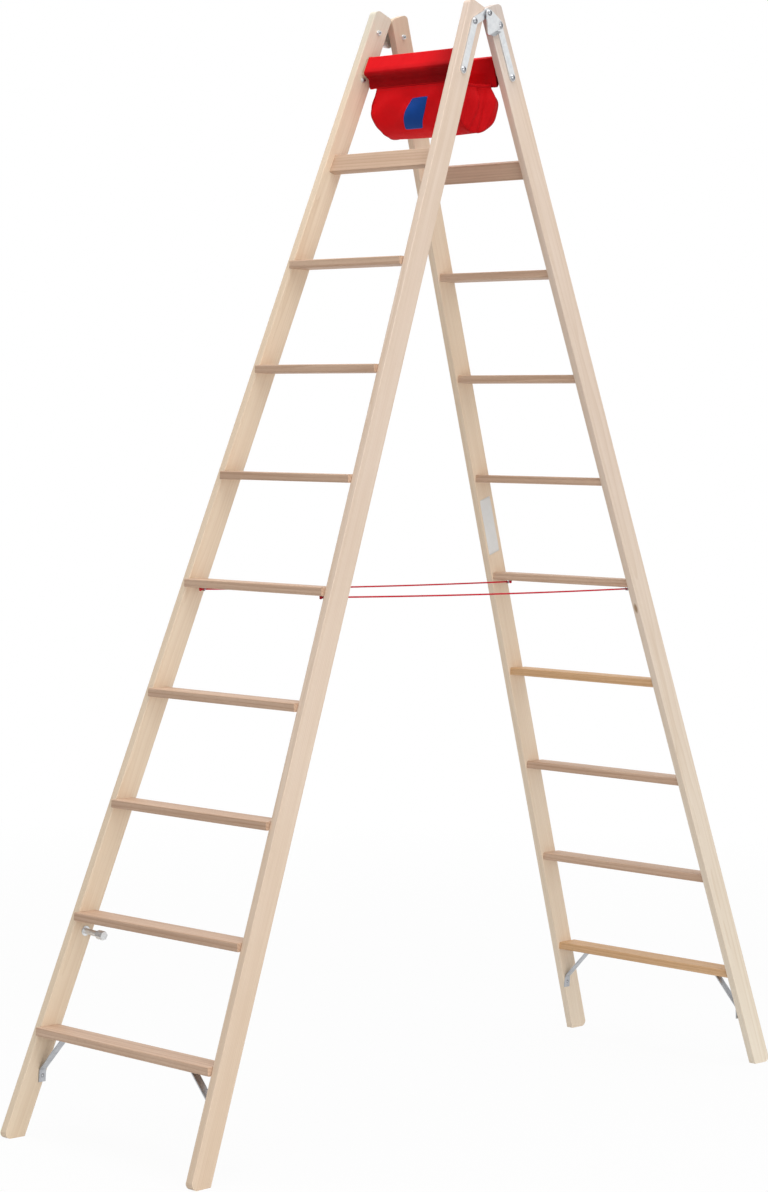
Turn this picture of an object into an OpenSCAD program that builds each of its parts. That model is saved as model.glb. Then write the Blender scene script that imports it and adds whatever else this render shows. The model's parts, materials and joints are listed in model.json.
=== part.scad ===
// Wooden trestle ladder: two rung sections with splayed stiles, hinged together at the top,
// held apart by two cords, with a cloth tool pouch hung between their top rails.
// The part stands on the floor at z = 0. X runs along the rungs, the front section leans from -Y.

/* [Stance] */
// Lean of each section from upright, degrees
lean = 20.1; // [17:0.1:23]
// Splay of each stile within its section, degrees
splay = 3.17; // [2:0.01:4]
// Outer width across the stiles at the hinge axis
top_w = 342.6; // [310:0.1:400]
// Height of the lowest rung's middle above the floor
low_rung_h = 246; // [215:1:315]

/* [Stiles] */
// Depth of a stile, square to the section
stile_d = 60; // [56:1:70]
// Thickness of a stile, along the rungs
stile_t = 21; // [19:0.5:26]
// Rounding of a stile's long edges
stile_arris = 2; // [1:0.5:3]
// Length of a stile above the hinge axis
stile_over = 12; // [10:1:16]
// Rounding of a stile's top on the hinge side
crown_r = 10; // [8:1:14]
// Rounding of a stile's top on the outer side
crown_outer_r = 16; // [6:1:24]
// Rounding of a foot's toe
toe_r = 15; // [6:1:20]
// Gap between the hinge axis and each section's inside face
hinge_gap = 4; // [4:0.5:7]

/* [Rungs] */
// Distance between rungs along the stile
pitch = 280; // [250:1:300]
// Distance down the stile from the hinge axis to the highest rung
top_rung_drop = 682.6; // [645:0.1:725]
// Depth of a rung, front to back
rung_d = 68; // [62:1:72]
// Height of a rung
rung_h = 20; // [18:0.5:25]
// Rounding of a rung's long edges
rung_arris = 3; // [1:0.5:5]
// Distance of a rung's middle in front of the stile's middle line
rung_out = 9; // [0:0.5:12]
// Depth of a rung's tenon
tenon_d = 40; // [30:1:46]
// Height of a rung's tenon
tenon_h = 11; // [8:0.5:14]
// Length of a tenon in its stile
tenon_l = 14; // [8:0.5:16]

/* [Rails] */
// Height of a rail, along the stile
rail_h = 46; // [38:1:49]
// Thickness of a rail
rail_t = 20; // [16:0.5:24]
// Distance down the stile from the hinge axis to the lower rail
low_rail_drop = 408; // [380:1:440]
// Distance down the stile from the hinge axis to the pouch rail
pouch_rail_drop = 140; // [128:1:142]
// Height of a rail's tenon
rail_tenon_h = 30; // [20:1:32]
// Thickness of a rail's tenon
rail_tenon_t = 11; // [8:0.5:13]

/* [Hinges] */
// Width of a hinge strap
strap_w = 20; // [16:1:24]
// Thickness of the strap steel
strap_t = 4; // [3:0.5:5]
// Distance down the stile from the hinge axis to a strap's upper bolt
upper_bolt_drop = 39; // [36:1:50]
// Distance down the stile from the hinge axis to a strap's lower bolt
lower_bolt_drop = 172; // [168:1:200]
// Distance down the stile where a strap's head bends square to the hinge axis
bend_drop = 20; // [17:1:22]
// Radius of the eye round the hinge pin
eye_r = 12; // [10:0.5:14]
// Thickness of the rear hinge leaf
leaf_t = 4; // [3:0.5:5]
// Clear distance between the leaf and the front strap's eye
leaf_stand = 4.5; // [3:0.5:6]
// Radius of the leaf's eye round the hinge pin
leaf_eye_r = 9; // [8:0.5:11]
// Distance of the leaf's free corner below the hinge axis
leaf_corner_drop = 46; // [42:1:50]
// Distance of the leaf's free corner past the hinge axis, towards the front section
leaf_corner_reach = 19; // [12:1:20]
// Rounding of the leaf's free corner
leaf_corner_r = 5; // [4:0.5:6]
// Share of the way to the bolt where the leaf bends in to its strap
leaf_bend_share = 0.55; // [0.45:0.01:0.6]
// Thickness of the web's edges under the leaf
web_t = 3; // [2:0.5:4]
// How far the web runs in under the leaf, away from the front section
web_run = 20; // [14:1:24]
// How far the web's foot lies below the leaf's edge
web_fall = 9; // [5:1:12]
// Diameter of a hinge pin
pin_d = 10; // [8:0.5:12]
// Diameter of a hinge pin's head
pin_head_d = 15; // [14:0.5:18]
// Height of a hinge pin's head
pin_head_h = 4; // [3:0.5:5]
// Diameter of the pin's collar between the front strap and the leaf
collar_d = 16; // [14:0.5:20]

/* [Strap bolts] */
// Diameter of a strap bolt
bolt_d = 6; // [5:0.5:7]
// Diameter of a strap bolt's round head
bolt_head_d = 17; // [14:0.5:18]
// Height of a strap bolt's round head
bolt_head_h = 5; // [4:0.5:6]
// Width across the flats of the socket in a bolt's or pin's head
socket_w = 6; // [5:0.5:7]
// Depth of that socket
socket_depth = 2.5; // [2:0.5:3]
// Width of a nut across its flats
nut_w = 10; // [9:0.5:11]
// Height of a nut, with its flange
nut_h = 6; // [5:0.5:7]
// Diameter of a nut's flange
nut_flange_d = 13; // [12:0.5:14]
// Thickness of a nut's flange
nut_flange_t = 1.4; // [1:0.1:2]
// Length of bolt that stands past its nut
bolt_end = 1.5; // [0.5:0.5:2]

/* [Struts] */
// Width of a strut's steel strip
strut_w = 20; // [16:1:24]
// Thickness of a strut's steel strip
strut_t = 3; // [2:0.5:4]
// Distance of a strut's bend on the stile below the lowest rung
strut_fall = 82; // [70:1:95]
// Distance of a strut's bend on the rung from the stile
strut_reach = 73; // [60:1:100]
// Length of the flat tab at each end of a strut
strut_tab = 30; // [26:1:34]
// Distance of a strut in front of the stile's middle line, at the rung
strut_out = 18; // [12:1:22]
// Diameter of a strut screw
screw_d = 5; // [4:0.5:6]
// Diameter of a strut screw's head
screw_head_d = 10; // [8:0.5:12]
// Height of a strut screw's head
screw_head_h = 3; // [2:0.5:4]
// Length of a strut screw in the wood
screw_l = 13; // [9:1:16]

/* [Cords] */
// Diameter of a spread cord
cord_d = 4; // [3:0.5:6]
// Distance of a spread cord from the stile
cord_inset = 28; // [20:1:60]
// Diameter of the knot at each end of a cord
knot_d = 9; // [7:0.5:12]
// Distance of a knot from the stile's middle line, towards the outside
knot_out = 15; // [12:1:22]
// Distance of a cord staple from the stile's middle line, towards the outside
staple_out = 4; // [0:1:6]
// Diameter of a staple's wire
staple_wire_d = 2.4; // [2:0.1:3]
// Depth of a staple's legs in the rung
staple_l = 11; // [7:1:14]

/* [Pouch] */
// Gap between the end of a sleeve and the stile beside it
pouch_gap = 10; // [6:1:24]
// Distance that a sleeve stands past each end of the pouch
sleeve_over = 3; // [2:0.5:5]
// Depth of the pouch's body, from its top edge to its bottom
pouch_h = 170; // [130:1:190]
// Distance of the pouch's walls inside the rails' middle lines
pouch_in = 2; // [1:0.5:6]
// Drop of the pouch's top edge below the rails' middle
pouch_top_drop = 16; // [12:1:18]
// Rounding of the pouch's lower corners
pouch_corner_r = 34; // [10:1:40]
// Thickness of the pouch's cloth with its padding
cloth_t = 3; // [2:0.5:4]

/* [Fittings] */
// Distance of the catch bolt and the stop stud below their rung
catch_fall = 37; // [30:1:60]
// Distance of the catch bolt from the section's inside face
catch_inset = 22; // [16:1:40]
// Diameter of the catch bolt
catch_d = 14; // [10:0.5:16]
// Length of the catch bolt outside the stile
catch_l = 70; // [45:1:80]
// Width of the catch bolt's hexagon head
catch_head_w = 19; // [17:0.5:22]
// Height of the catch bolt's hexagon head
catch_head_h = 22; // [8:0.5:26]
// Diameter of the catch bolt's washer
washer_d = 24; // [20:0.5:28]
// Thickness of the catch bolt's washer
washer_t = 2; // [1:0.5:3]
// Diameter of the stop stud's head
stud_head_d = 14; // [10:0.5:18]
// Height of the stop stud's head
stud_head_h = 4.5; // [3:0.5:6]
// Diameter of the stop stud's shank
stud_d = 6; // [4:0.5:8]
// Length of the stop stud's shank in the stile
stud_l = 20; // [12:1:30]

/* [Hidden] */
$fn = 48;
rungs = 8;
cord_rung = rungs - 3;
catch_rung = rungs - 6;
overrun = 10;
fit_gap = 0.1;
shoulder_gap = 0.3;
bolt_gap = 0.2;
running_gap = 0.05;
hinge_play = 0.3;
cord_gap = 0.3;
sleeve_gap = 0.3;
bend_lap = 4;
hull_fn = 32;
wood = "#e6d2ba";
beech = "#c9a284";
zinc = "#c6cacd";
red_cloth = "#c4223c";
red_cord = "#b5283f";

half_top = top_w / 2;
mid_d = hinge_gap + stile_d / 2;
front_y = -hinge_gap - stile_d;
low_rung_drop = top_rung_drop + (rungs - 1) * pitch;
pivot_h = low_rung_h + low_rung_drop * cos(lean) - mid_d * sin(lean);
bar_l = (pivot_h + stile_d) / (cos(lean) * cos(splay));
reach = 2 * (half_top + bar_l * tan(splay));
rail_drops = [pouch_rail_drop, low_rail_drop];
sleeve_half = bay_half(pouch_rail_drop) - pouch_gap;
pouch_half = sleeve_half - sleeve_over;
head_x = half_top + (bend_drop + bend_lap) * tan(splay) + fit_gap;
leaf_x = head_x + strap_t + leaf_stand;
leaf_bolt = [-mid_d, -upper_bolt_drop];
leaf_corner = [leaf_corner_reach, -leaf_corner_drop];
high_bend = leaf_bend_share * leaf_bolt;
low_bend = leaf_corner + leaf_bend_share * (leaf_bolt - leaf_corner);
pin_head_x = leaf_x + leaf_t + hinge_play;
under_rung = -rung_h / 2;
cord_fall = knot_d / 2 + cord_gap;
staple_half = cord_d / 2 + cord_gap + staple_wire_d / 2;
tab_tilt = atan(tan(splay) * cos(lean));
strut_seat = strut_t / 2 + strut_w / 2 * tan(splay) * sin(lean);

// Distance down the stile from the hinge axis to a rung, counted from the lowest
function rung_drop(i) = top_rung_drop + (rungs - i) * pitch;
// Half the clear width between the stiles, at a distance down from the hinge axis
function bay_half(drop) = half_top + drop * tan(splay) - stile_t / cos(splay);
// Height of the floor in the section's plane, at a distance out from the hinge axis
function floor_z(y) = (y * sin(lean) - pivot_h) / cos(lean);
// Distance from the middle of the ladder to a point of a section, at a drop and depth
function plan_y(drop, depth) = depth * cos(lean) + drop * sin(lean);
// Height above the floor of a point of a section, at a drop and depth
function plan_z(drop, depth) = pivot_h - drop * cos(lean) + depth * sin(lean);
// The stile's inner face beside the lowest rung, at a height from the rung's middle
function strut_face(z) = bay_half(low_rung_drop)
    - tan(splay) * (z * cos(lean) - strut_out * sin(lean));

// Placing

module front_plane() {
    translate([0, 0, pivot_h])
        rotate([-lean, 0, 0])
            children();
}

module rear_plane() {
    mirror([0, 1, 0])
        front_plane()
            children();
}

module left() {
    mirror([1, 0, 0])
        children();
}

module both_sides() {
    children();
    left()
        children();
}

// A profile in Y and Z, drawn out along X
module across(w) {
    rotate([90, 0, 90])
        linear_extrude(w, center = true)
            children();
}

// A profile in Y and Z, drawn outwards from a stile's outer face
module on_face(from, h) {
    translate([half_top, 0, 0])
        rotate([0, -splay, 0])
            translate([from, 0, 0])
                rotate([90, 0, 90])
                    linear_extrude(h)
                        children();
}

// Axis square to a stile's outer face, at a drop and on the stile's middle line
module on_stile(drop) {
    translate([half_top, 0, 0])
        rotate([0, -splay, 0])
            translate([0, -mid_d, -drop])
                rotate([0, 90, 0])
                    children();
}

module at_rung(i) {
    translate([0, -mid_d, -rung_drop(i)])
        rotate([lean, 0, 0])
            children();
}

module at_rail(drop) {
    translate([0, -mid_d, -drop])
        children();
}

// Shared shapes

module rounded(w, h, r) {
    square([w - 2 * r, h], center = true);
    square([w, h - 2 * r], center = true);
    for (x = [-1, 1], y = [-1, 1])
        translate([x * (w / 2 - r), y * (h / 2 - r)])
            circle(r);
}

// What a fillet takes off a corner whose sides run along X and at an angle to it
module corner_scrap(r, angle) {
    run = r / tan(angle / 2);
    out = 2 * overrun;
    difference() {
        polygon([
            [run, -out],
            [run, r],
            [run * cos(angle) - out * sin(angle), run * sin(angle) + out * cos(angle)],
            [-out / tan(angle / 2), -out]
        ]);
        translate([run, r])
            circle(r);
    }
}

module bar(from, to, w) {
    span = to - from;
    translate(from)
        rotate(atan2(span.y, span.x))
            translate([0, -w / 2])
                square([norm(span), w]);
}

module dome(d, h) {
    r = (pow(d / 2, 2) + pow(h, 2)) / (2 * h);
    rotate_extrude()
        intersection() {
            translate([0, h - r])
                circle(r);
            square([d / 2, h]);
        }
}

// Space between the stiles of a section, a shoulder's gap clear of them
module bay() {
    top = bay_half(-stile_d) - shoulder_gap;
    bottom = bay_half(bar_l) - shoulder_gap;
    rotate([90, 0, 0])
        linear_extrude(4 * stile_d + 2 * rung_d, center = true)
            polygon([
                [-top, stile_d],
                [top, stile_d],
                [bottom, -bar_l],
                [-bottom, -bar_l]
            ]);
}

// Stiles

module side_outline() {
    outer = front_y - overrun;
    inner = overrun - hinge_gap;
    difference() {
        polygon([
            [outer, floor_z(outer)],
            [inner, floor_z(inner)],
            [inner, stile_over],
            [outer, stile_over]
        ]);
        translate([front_y, floor_z(front_y)])
            rotate(lean)
                corner_scrap(toe_r, 90 - lean);
        translate([-hinge_gap, stile_over])
            rotate(180)
                corner_scrap(crown_r, 90);
        translate([front_y, stile_over])
            rotate(270)
                corner_scrap(crown_outer_r, 90);
    }
}

module stile_bar() {
    translate([half_top, -mid_d, 0])
        rotate([0, -splay, 0])
            translate([-stile_t / 2, 0, -bar_l])
                linear_extrude(bar_l + 2 * stile_over)
                    rounded(stile_t, stile_d, stile_arris);
}

module mortises() {
    for (i = [1:rungs])
        at_rung(i)
            cube([
                2 * (bay_half(rung_drop(i)) + tenon_l + fit_gap),
                tenon_d + 2 * fit_gap,
                tenon_h + 2 * fit_gap
            ], center = true);
    for (drop = rail_drops)
        at_rail(drop)
            cube([
                2 * (bay_half(drop) + tenon_l + fit_gap),
                rail_tenon_t + 2 * fit_gap,
                rail_tenon_h + 2 * fit_gap
            ], center = true);
}

module stile() {
    difference() {
        intersection() {
            stile_bar();
            across(reach)
                side_outline();
        }
        mortises();
        for (drop = [upper_bolt_drop, lower_bolt_drop])
            on_stile(drop)
                cylinder(d = bolt_d + 2 * bolt_gap, h = 4 * stile_t, center = true);
        on_strut_tab()
            screw_bore();
    }
}

module front_stile_right() {
    color(wood)
        front_plane()
            difference() {
                stile();
                at_stud()
                    translate([0, 0, -stud_l - fit_gap])
                        cylinder(d = stud_d + 2 * fit_gap, h = stud_l + overrun);
            }
}

module front_stile_left() {
    color(wood)
        front_plane()
            difference() {
                left()
                    stile();
                at_catch()
                    translate([0, 0, -tenon_l - fit_gap])
                        cylinder(d = catch_d + 2 * fit_gap, h = tenon_l + overrun);
            }
}

module rear_stile_right() {
    color(wood)
        rear_plane()
            stile();
}

module rear_stile_left() {
    color(wood)
        rear_plane()
            left()
                stile();
}

// Rungs and rails

module rung_blank(i) {
    intersection() {
        at_rung(i)
            across(reach)
                translate([-rung_out, 0])
                    rounded(rung_d, rung_h, rung_arris);
        bay();
    }
    at_rung(i)
        cube([2 * (bay_half(rung_drop(i)) + tenon_l), tenon_d, tenon_h], center = true);
}

module rung(i) {
    color(beech)
        difference() {
            rung_blank(i);
            if (i == cord_rung)
                both_sides()
                    at_staple()
                        staple_legs(staple_wire_d + 2 * fit_gap, staple_l + fit_gap);
            if (i == 1)
                both_sides()
                    on_rung_tab()
                        screw_bore();
        }
}

module rail(drop) {
    color(wood) {
        intersection() {
            at_rail(drop)
                across(reach)
                    rounded(rail_t, rail_h, stile_arris);
            bay();
        }
        at_rail(drop)
            cube([2 * (bay_half(drop) + tenon_l), rail_tenon_t, rail_tenon_h], center = true);
    }
}

// Hinges

module above_bend(lap) {
    intersection() {
        children();
        translate([-top_w, -bend_drop - lap])
            square([2 * top_w, top_w]);
    }
}

module below_bend(lap) {
    intersection() {
        children();
        translate([-top_w, lap - bend_drop - top_w])
            square([2 * top_w, top_w]);
    }
}

module leg_outline(top_drop) {
    bar([-mid_d, -top_drop], [-mid_d, -lower_bolt_drop], strap_w);
    for (drop = [top_drop, lower_bolt_drop])
        translate([-mid_d, -drop])
            circle(d = strap_w);
}

module front_strap_outline() {
    leg_outline(upper_bolt_drop);
    bar([-mid_d, -upper_bolt_drop], [0, 0], strap_w);
    circle(eye_r);
}

module pin_axis(from, d, l) {
    translate([from, 0, 0])
        rotate([0, 90, 0])
            cylinder(d = d, h = l);
}

module front_strap() {
    color(zinc)
        difference() {
            union() {
                on_face(0, strap_t)
                    below_bend(bend_lap)
                        front_strap_outline();
                translate([head_x + strap_t / 2, 0, 0])
                    across(strap_t)
                        above_bend(bend_lap)
                            front_strap_outline();
            }
            for (drop = [upper_bolt_drop, lower_bolt_drop])
                on_stile(drop)
                    cylinder(d = bolt_d + 2 * bolt_gap, h = 4 * stile_t, center = true);
            pin_axis(head_x - overrun, pin_d + 2 * running_gap, strap_t + 2 * overrun);
        }
}

module rear_strap() {
    color(zinc)
        difference() {
            on_face(0, strap_t)
                leg_outline(upper_bolt_drop);
            for (drop = [upper_bolt_drop, lower_bolt_drop])
                on_stile(drop)
                    cylinder(d = bolt_d + 2 * bolt_gap, h = 4 * stile_t, center = true);
        }
}

// A disc of leaf steel, standing proud of the front strap
module proud(at, r) {
    translate([leaf_x, at.x, at.y])
        rotate([0, 90, 0])
            cylinder(r = r, h = leaf_t);
}

// A disc of leaf steel, lying on the rear strap
module seated(at, r) {
    on_face(strap_t, leaf_t)
        translate(at)
            circle(r);
}

module leaf_plate() {
    hull($fn = hull_fn) {
        proud([0, 0], leaf_eye_r);
        proud(high_bend, leaf_eye_r);
        proud(leaf_corner, leaf_corner_r);
        proud(low_bend, leaf_corner_r);
    }
}

// The bend between the proud plate and the strap
module leaf_ramp() {
    hull($fn = hull_fn) {
        proud(high_bend, leaf_eye_r);
        proud(low_bend, leaf_corner_r);
        seated(leaf_bolt, strap_w / 2);
    }
}

// The lower edge, folded in until it meets the strap
module leaf_web() {
    edge = [0, web_t / 2 - leaf_corner_r];
    foot = edge - [web_run, web_fall];
    hull($fn = hull_fn)
        for (at = [leaf_corner, low_bend]) {
            proud(at + edge, web_t / 2);
            seated(at + foot, web_t / 2);
        }
}

module rear_leaf() {
    color(zinc)
        difference() {
            union() {
                leaf_plate();
                leaf_ramp();
                leaf_web();
            }
            on_stile(upper_bolt_drop) {
                cylinder(d = bolt_d + 2 * bolt_gap, h = 4 * stile_t, center = true);
                translate([0, 0, strap_t + leaf_t])
                    cylinder(d = bolt_head_d + 2 * bolt_gap, h = stile_t);
            }
            pin_axis(leaf_x - overrun, pin_d + 2 * running_gap, leaf_t + 2 * overrun);
        }
}

module hinge_pin() {
    collar_x = head_x + strap_t + hinge_play;
    color(zinc)
        translate([0, 0, pivot_h]) {
            pin_axis(head_x, pin_d, pin_head_x - head_x);
            pin_axis(collar_x, collar_d, leaf_x - hinge_play - collar_x);
            translate([pin_head_x, 0, 0])
                rotate([0, 90, 0])
                    socket_head(pin_head_d, pin_head_h);
        }
}

// A round head with a six-sided socket
module socket_head(d, h) {
    difference() {
        dome(d, h);
        translate([0, 0, h - socket_depth])
            cylinder(d = socket_w / cos(30), h = h, $fn = 6);
    }
}

// A round-headed bolt through a stack of plates and the stile
module strap_bolt(stack) {
    shank = stack + stile_t + nut_h + bolt_end;
    translate([0, 0, stack]) {
        socket_head(bolt_head_d, bolt_head_h);
        translate([0, 0, -shank])
            cylinder(d = bolt_d, h = shank);
    }
}

module flange_nut() {
    translate([0, 0, -stile_t - nut_h])
        difference() {
            union() {
                cylinder(d = nut_w / cos(30), h = nut_h, $fn = 6);
                translate([0, 0, nut_h - nut_flange_t])
                    cylinder(d = nut_flange_d, h = nut_flange_t);
            }
            translate([0, 0, -overrun])
                cylinder(d = bolt_d + 2 * fit_gap, h = nut_h + 2 * overrun);
        }
}

module strap_bolts(upper_stack, lower_stack) {
    color(zinc)
        both_sides() {
            on_stile(upper_bolt_drop)
                strap_bolt(upper_stack);
            on_stile(lower_bolt_drop)
                strap_bolt(lower_stack);
        }
}

module strap_nuts() {
    color(zinc)
        both_sides()
            for (drop = [upper_bolt_drop, lower_bolt_drop])
                on_stile(drop)
                    flange_nut();
}

// Struts under the lowest rung

function rung_bend() = [strut_face(under_rung) - strut_reach, under_rung - strut_t / 2];
function stile_bend() = [strut_face(under_rung - strut_fall) - strut_seat, under_rung - strut_fall];
function rung_tab_end() = rung_bend() - [strut_tab, 0];
function stile_tab_end() = stile_bend() + strut_tab * [sin(tab_tilt), -cos(tab_tilt)];

// Outer surface of the tab on the stile, where its screw's head sits
module on_strut_tab() {
    place = (stile_bend() + stile_tab_end()) / 2;
    at_rung(1)
        translate([place.x, -strut_out, place.y])
            rotate([0, -90 - tab_tilt, 0])
                translate([0, 0, strut_t / 2])
                    children();
}

// Lower surface of the tab on the rung, where its screw's head sits
module on_rung_tab() {
    place = (rung_bend() + rung_tab_end()) / 2;
    at_rung(1)
        translate([place.x, -strut_out, place.y])
            rotate([180, 0, 0])
                translate([0, 0, strut_t / 2])
                    children();
}

module screw_bore() {
    depth = screw_l + 2 * strut_t;
    translate([0, 0, -depth])
        cylinder(d = screw_d + 2 * fit_gap, h = depth + overrun);
}

module screw() {
    depth = screw_l + strut_t;
    dome(screw_head_d, screw_head_h);
    translate([0, 0, -depth])
        cylinder(d = screw_d, h = depth);
}

module strut() {
    color(zinc)
        difference() {
            at_rung(1)
                translate([0, -strut_out, 0])
                    rotate([90, 0, 0])
                        linear_extrude(strut_w, center = true) {
                            bar(rung_tab_end(), rung_bend(), strut_t);
                            bar(rung_bend(), stile_bend(), strut_t);
                            bar(stile_bend(), stile_tab_end(), strut_t);
                            for (bend = [rung_bend(), stile_bend()])
                                translate(bend)
                                    circle(d = strut_t);
                        }
            on_strut_tab()
                screw_bore();
            on_rung_tab()
                screw_bore();
        }
}

module strut_screws() {
    color(zinc)
        both_sides() {
            on_strut_tab()
                screw();
            on_rung_tab()
                screw();
        }
}

// Spread cords and their staples

module at_staple() {
    at_rung(cord_rung)
        translate([bay_half(rung_drop(cord_rung)) - cord_inset, -staple_out, under_rung])
            children();
}

module staple_legs(d, l) {
    crown_z = -cord_fall - cord_d / 2 - cord_gap - staple_wire_d / 2;
    for (side = [-1, 1])
        translate([side * staple_half, 0, crown_z])
            cylinder(d = d, h = l - crown_z);
}

module staple() {
    crown_z = -cord_fall - cord_d / 2 - cord_gap - staple_wire_d / 2;
    staple_legs(staple_wire_d, staple_l);
    translate([-staple_half, 0, crown_z])
        rotate([0, 90, 0])
            cylinder(d = staple_wire_d, h = 2 * staple_half);
    for (side = [-1, 1])
        translate([side * staple_half, 0, crown_z])
            sphere(d = staple_wire_d);
}

module cord_staples() {
    color(zinc)
        both_sides()
            at_staple()
                staple();
}

module spread_cord() {
    drop = rung_drop(cord_rung);
    end_y = plan_y(drop, mid_d) + knot_out;
    color(red_cord)
        translate([bay_half(drop) - cord_inset, 0, plan_z(drop, mid_d) + under_rung - cord_fall])
            rotate([90, 0, 0]) {
                cylinder(d = cord_d, h = 2 * end_y, center = true);
                for (end = [-1, 1])
                    translate([0, 0, end * end_y])
                        sphere(d = knot_d);
            }
}

// Tool pouch

module sleeve(grow) {
    front_plane()
        at_rail(pouch_rail_drop)
            across(grow > 0 ? 2 * sleeve_half : reach)
                rounded(
                    rail_t + 2 * (sleeve_gap + grow),
                    rail_h + 2 * (sleeve_gap + grow),
                    stile_arris + grow
                );
}

// A round-bottomed trough between the rails, or the space inside its walls
module pouch_form(wall) {
    top_z = plan_z(pouch_rail_drop, mid_d) - pouch_top_drop;
    low_z = top_z - pouch_h + wall;
    lift = wall > 0 ? overrun : 0;
    belly_r = plan_y(pouch_rail_drop, mid_d) - pouch_in - wall;
    half_w = pouch_half - wall;
    corner_r = pouch_corner_r - wall;
    intersection() {
        across(2 * pouch_half) {
            translate([0, low_z + belly_r])
                circle(belly_r);
            translate([-belly_r, low_z + belly_r])
                square([2 * belly_r, top_z + lift - low_z - belly_r]);
        }
        rotate([90, 0, 0])
            linear_extrude(4 * belly_r, center = true) {
                translate([-half_w, low_z + corner_r])
                    square([2 * half_w, pouch_h + overrun]);
                translate([corner_r - half_w, low_z])
                    square([2 * (half_w - corner_r), pouch_h]);
                for (side = [-1, 1])
                    translate([side * (half_w - corner_r), low_z + corner_r])
                        circle(corner_r);
            }
    }
}

module tool_pouch() {
    color(red_cloth)
        difference() {
            union() {
                difference() {
                    pouch_form(0);
                    pouch_form(cloth_t);
                }
                sleeve(cloth_t);
                mirror([0, 1, 0])
                    sleeve(cloth_t);
            }
            sleeve(0);
            mirror([0, 1, 0])
                sleeve(0);
        }
}

// Fittings on the front section

// Axis of the catch bolt, out of the left stile's inner face
module at_catch() {
    drop = rung_drop(catch_rung) + catch_fall;
    translate([-bay_half(drop), -hinge_gap - catch_inset, -drop])
        rotate([0, 90 + splay, 0])
            children();
}

module catch_bolt() {
    color(zinc)
        front_plane()
            at_catch() {
                translate([0, 0, -tenon_l])
                    cylinder(d = catch_d, h = tenon_l + catch_l);
                translate([0, 0, catch_l - catch_head_h])
                    cylinder(d = catch_head_w / cos(30), h = catch_head_h, $fn = 6);
            }
}

module catch_washer() {
    color(zinc)
        front_plane()
            at_catch()
                difference() {
                    cylinder(d = washer_d, h = washer_t);
                    translate([0, 0, -overrun])
                        cylinder(d = catch_d + 2 * fit_gap, h = washer_t + 2 * overrun);
                }
}

// Axis of the stop stud, out of the right stile's inside face
module at_stud() {
    drop = rung_drop(catch_rung) + catch_fall;
    translate([bay_half(drop) + stile_t / 2, -hinge_gap, -drop])
        rotate([-90, 0, 0])
            children();
}

module stop_stud() {
    color(zinc)
        front_plane()
            at_stud() {
                dome(stud_head_d, stud_head_h);
                translate([0, 0, -stud_l])
                    cylinder(d = stud_d, h = stud_l);
            }
}

front_stile_right();
front_stile_left();
rear_stile_right();
rear_stile_left();
front_plane() rung(1);  // front_rung_1
front_plane() rung(2);  // front_rung_2
front_plane() rung(3);  // front_rung_3
front_plane() rung(4);  // front_rung_4
front_plane() rung(5);  // front_rung_5
front_plane() rung(6);  // front_rung_6
front_plane() rung(7);  // front_rung_7
front_plane() rung(8);  // front_rung_8
rear_plane() rung(1);  // rear_rung_1
rear_plane() rung(2);  // rear_rung_2
rear_plane() rung(3);  // rear_rung_3
rear_plane() rung(4);  // rear_rung_4
rear_plane() rung(5);  // rear_rung_5
rear_plane() rung(6);  // rear_rung_6
rear_plane() rung(7);  // rear_rung_7
rear_plane() rung(8);  // rear_rung_8
front_plane() rail(low_rail_drop);  // front_rail
rear_plane() rail(low_rail_drop);  // rear_rail
front_plane() rail(pouch_rail_drop);  // front_pouch_rail
rear_plane() rail(pouch_rail_drop);  // rear_pouch_rail
front_plane() front_strap();  // front_strap_right
front_plane() left() front_strap();  // front_strap_left
rear_plane() rear_strap();  // rear_strap_right
rear_plane() left() rear_strap();  // rear_strap_left
rear_plane() rear_leaf();  // rear_leaf_right
rear_plane() left() rear_leaf();  // rear_leaf_left
hinge_pin();  // hinge_pin_right
left() hinge_pin();  // hinge_pin_left
front_plane() strap_bolts(strap_t, strap_t);  // front_strap_bolts
rear_plane() strap_bolts(strap_t + leaf_t, strap_t);  // rear_strap_bolts
front_plane() strap_nuts();  // front_strap_nuts
rear_plane() strap_nuts();  // rear_strap_nuts
front_plane() strut();  // front_strut_right
front_plane() left() strut();  // front_strut_left
rear_plane() strut();  // rear_strut_right
rear_plane() left() strut();  // rear_strut_left
front_plane() strut_screws();  // front_strut_screws
rear_plane() strut_screws();  // rear_strut_screws
spread_cord();  // spread_cord_right
left() spread_cord();  // spread_cord_left
front_plane() cord_staples();  // front_cord_staples
rear_plane() cord_staples();  // rear_cord_staples
tool_pouch();
catch_bolt();
catch_washer();
stop_stud();
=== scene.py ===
"""Looks of a wooden trestle ladder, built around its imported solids.

The timber and steel solids stay where they are and get procedural finishes. The cloth tool pouch, the two
spread cords with their knots and the blank paper patch are new surfaces, worked out as arrays of points.
"""

from __future__ import annotations

import json
import logging
import math
from abc import ABC, abstractmethod
from dataclasses import dataclass, field, replace
from enum import Enum

import bmesh
import bpy
import numpy as np
from mathutils import Matrix, Vector

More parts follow.
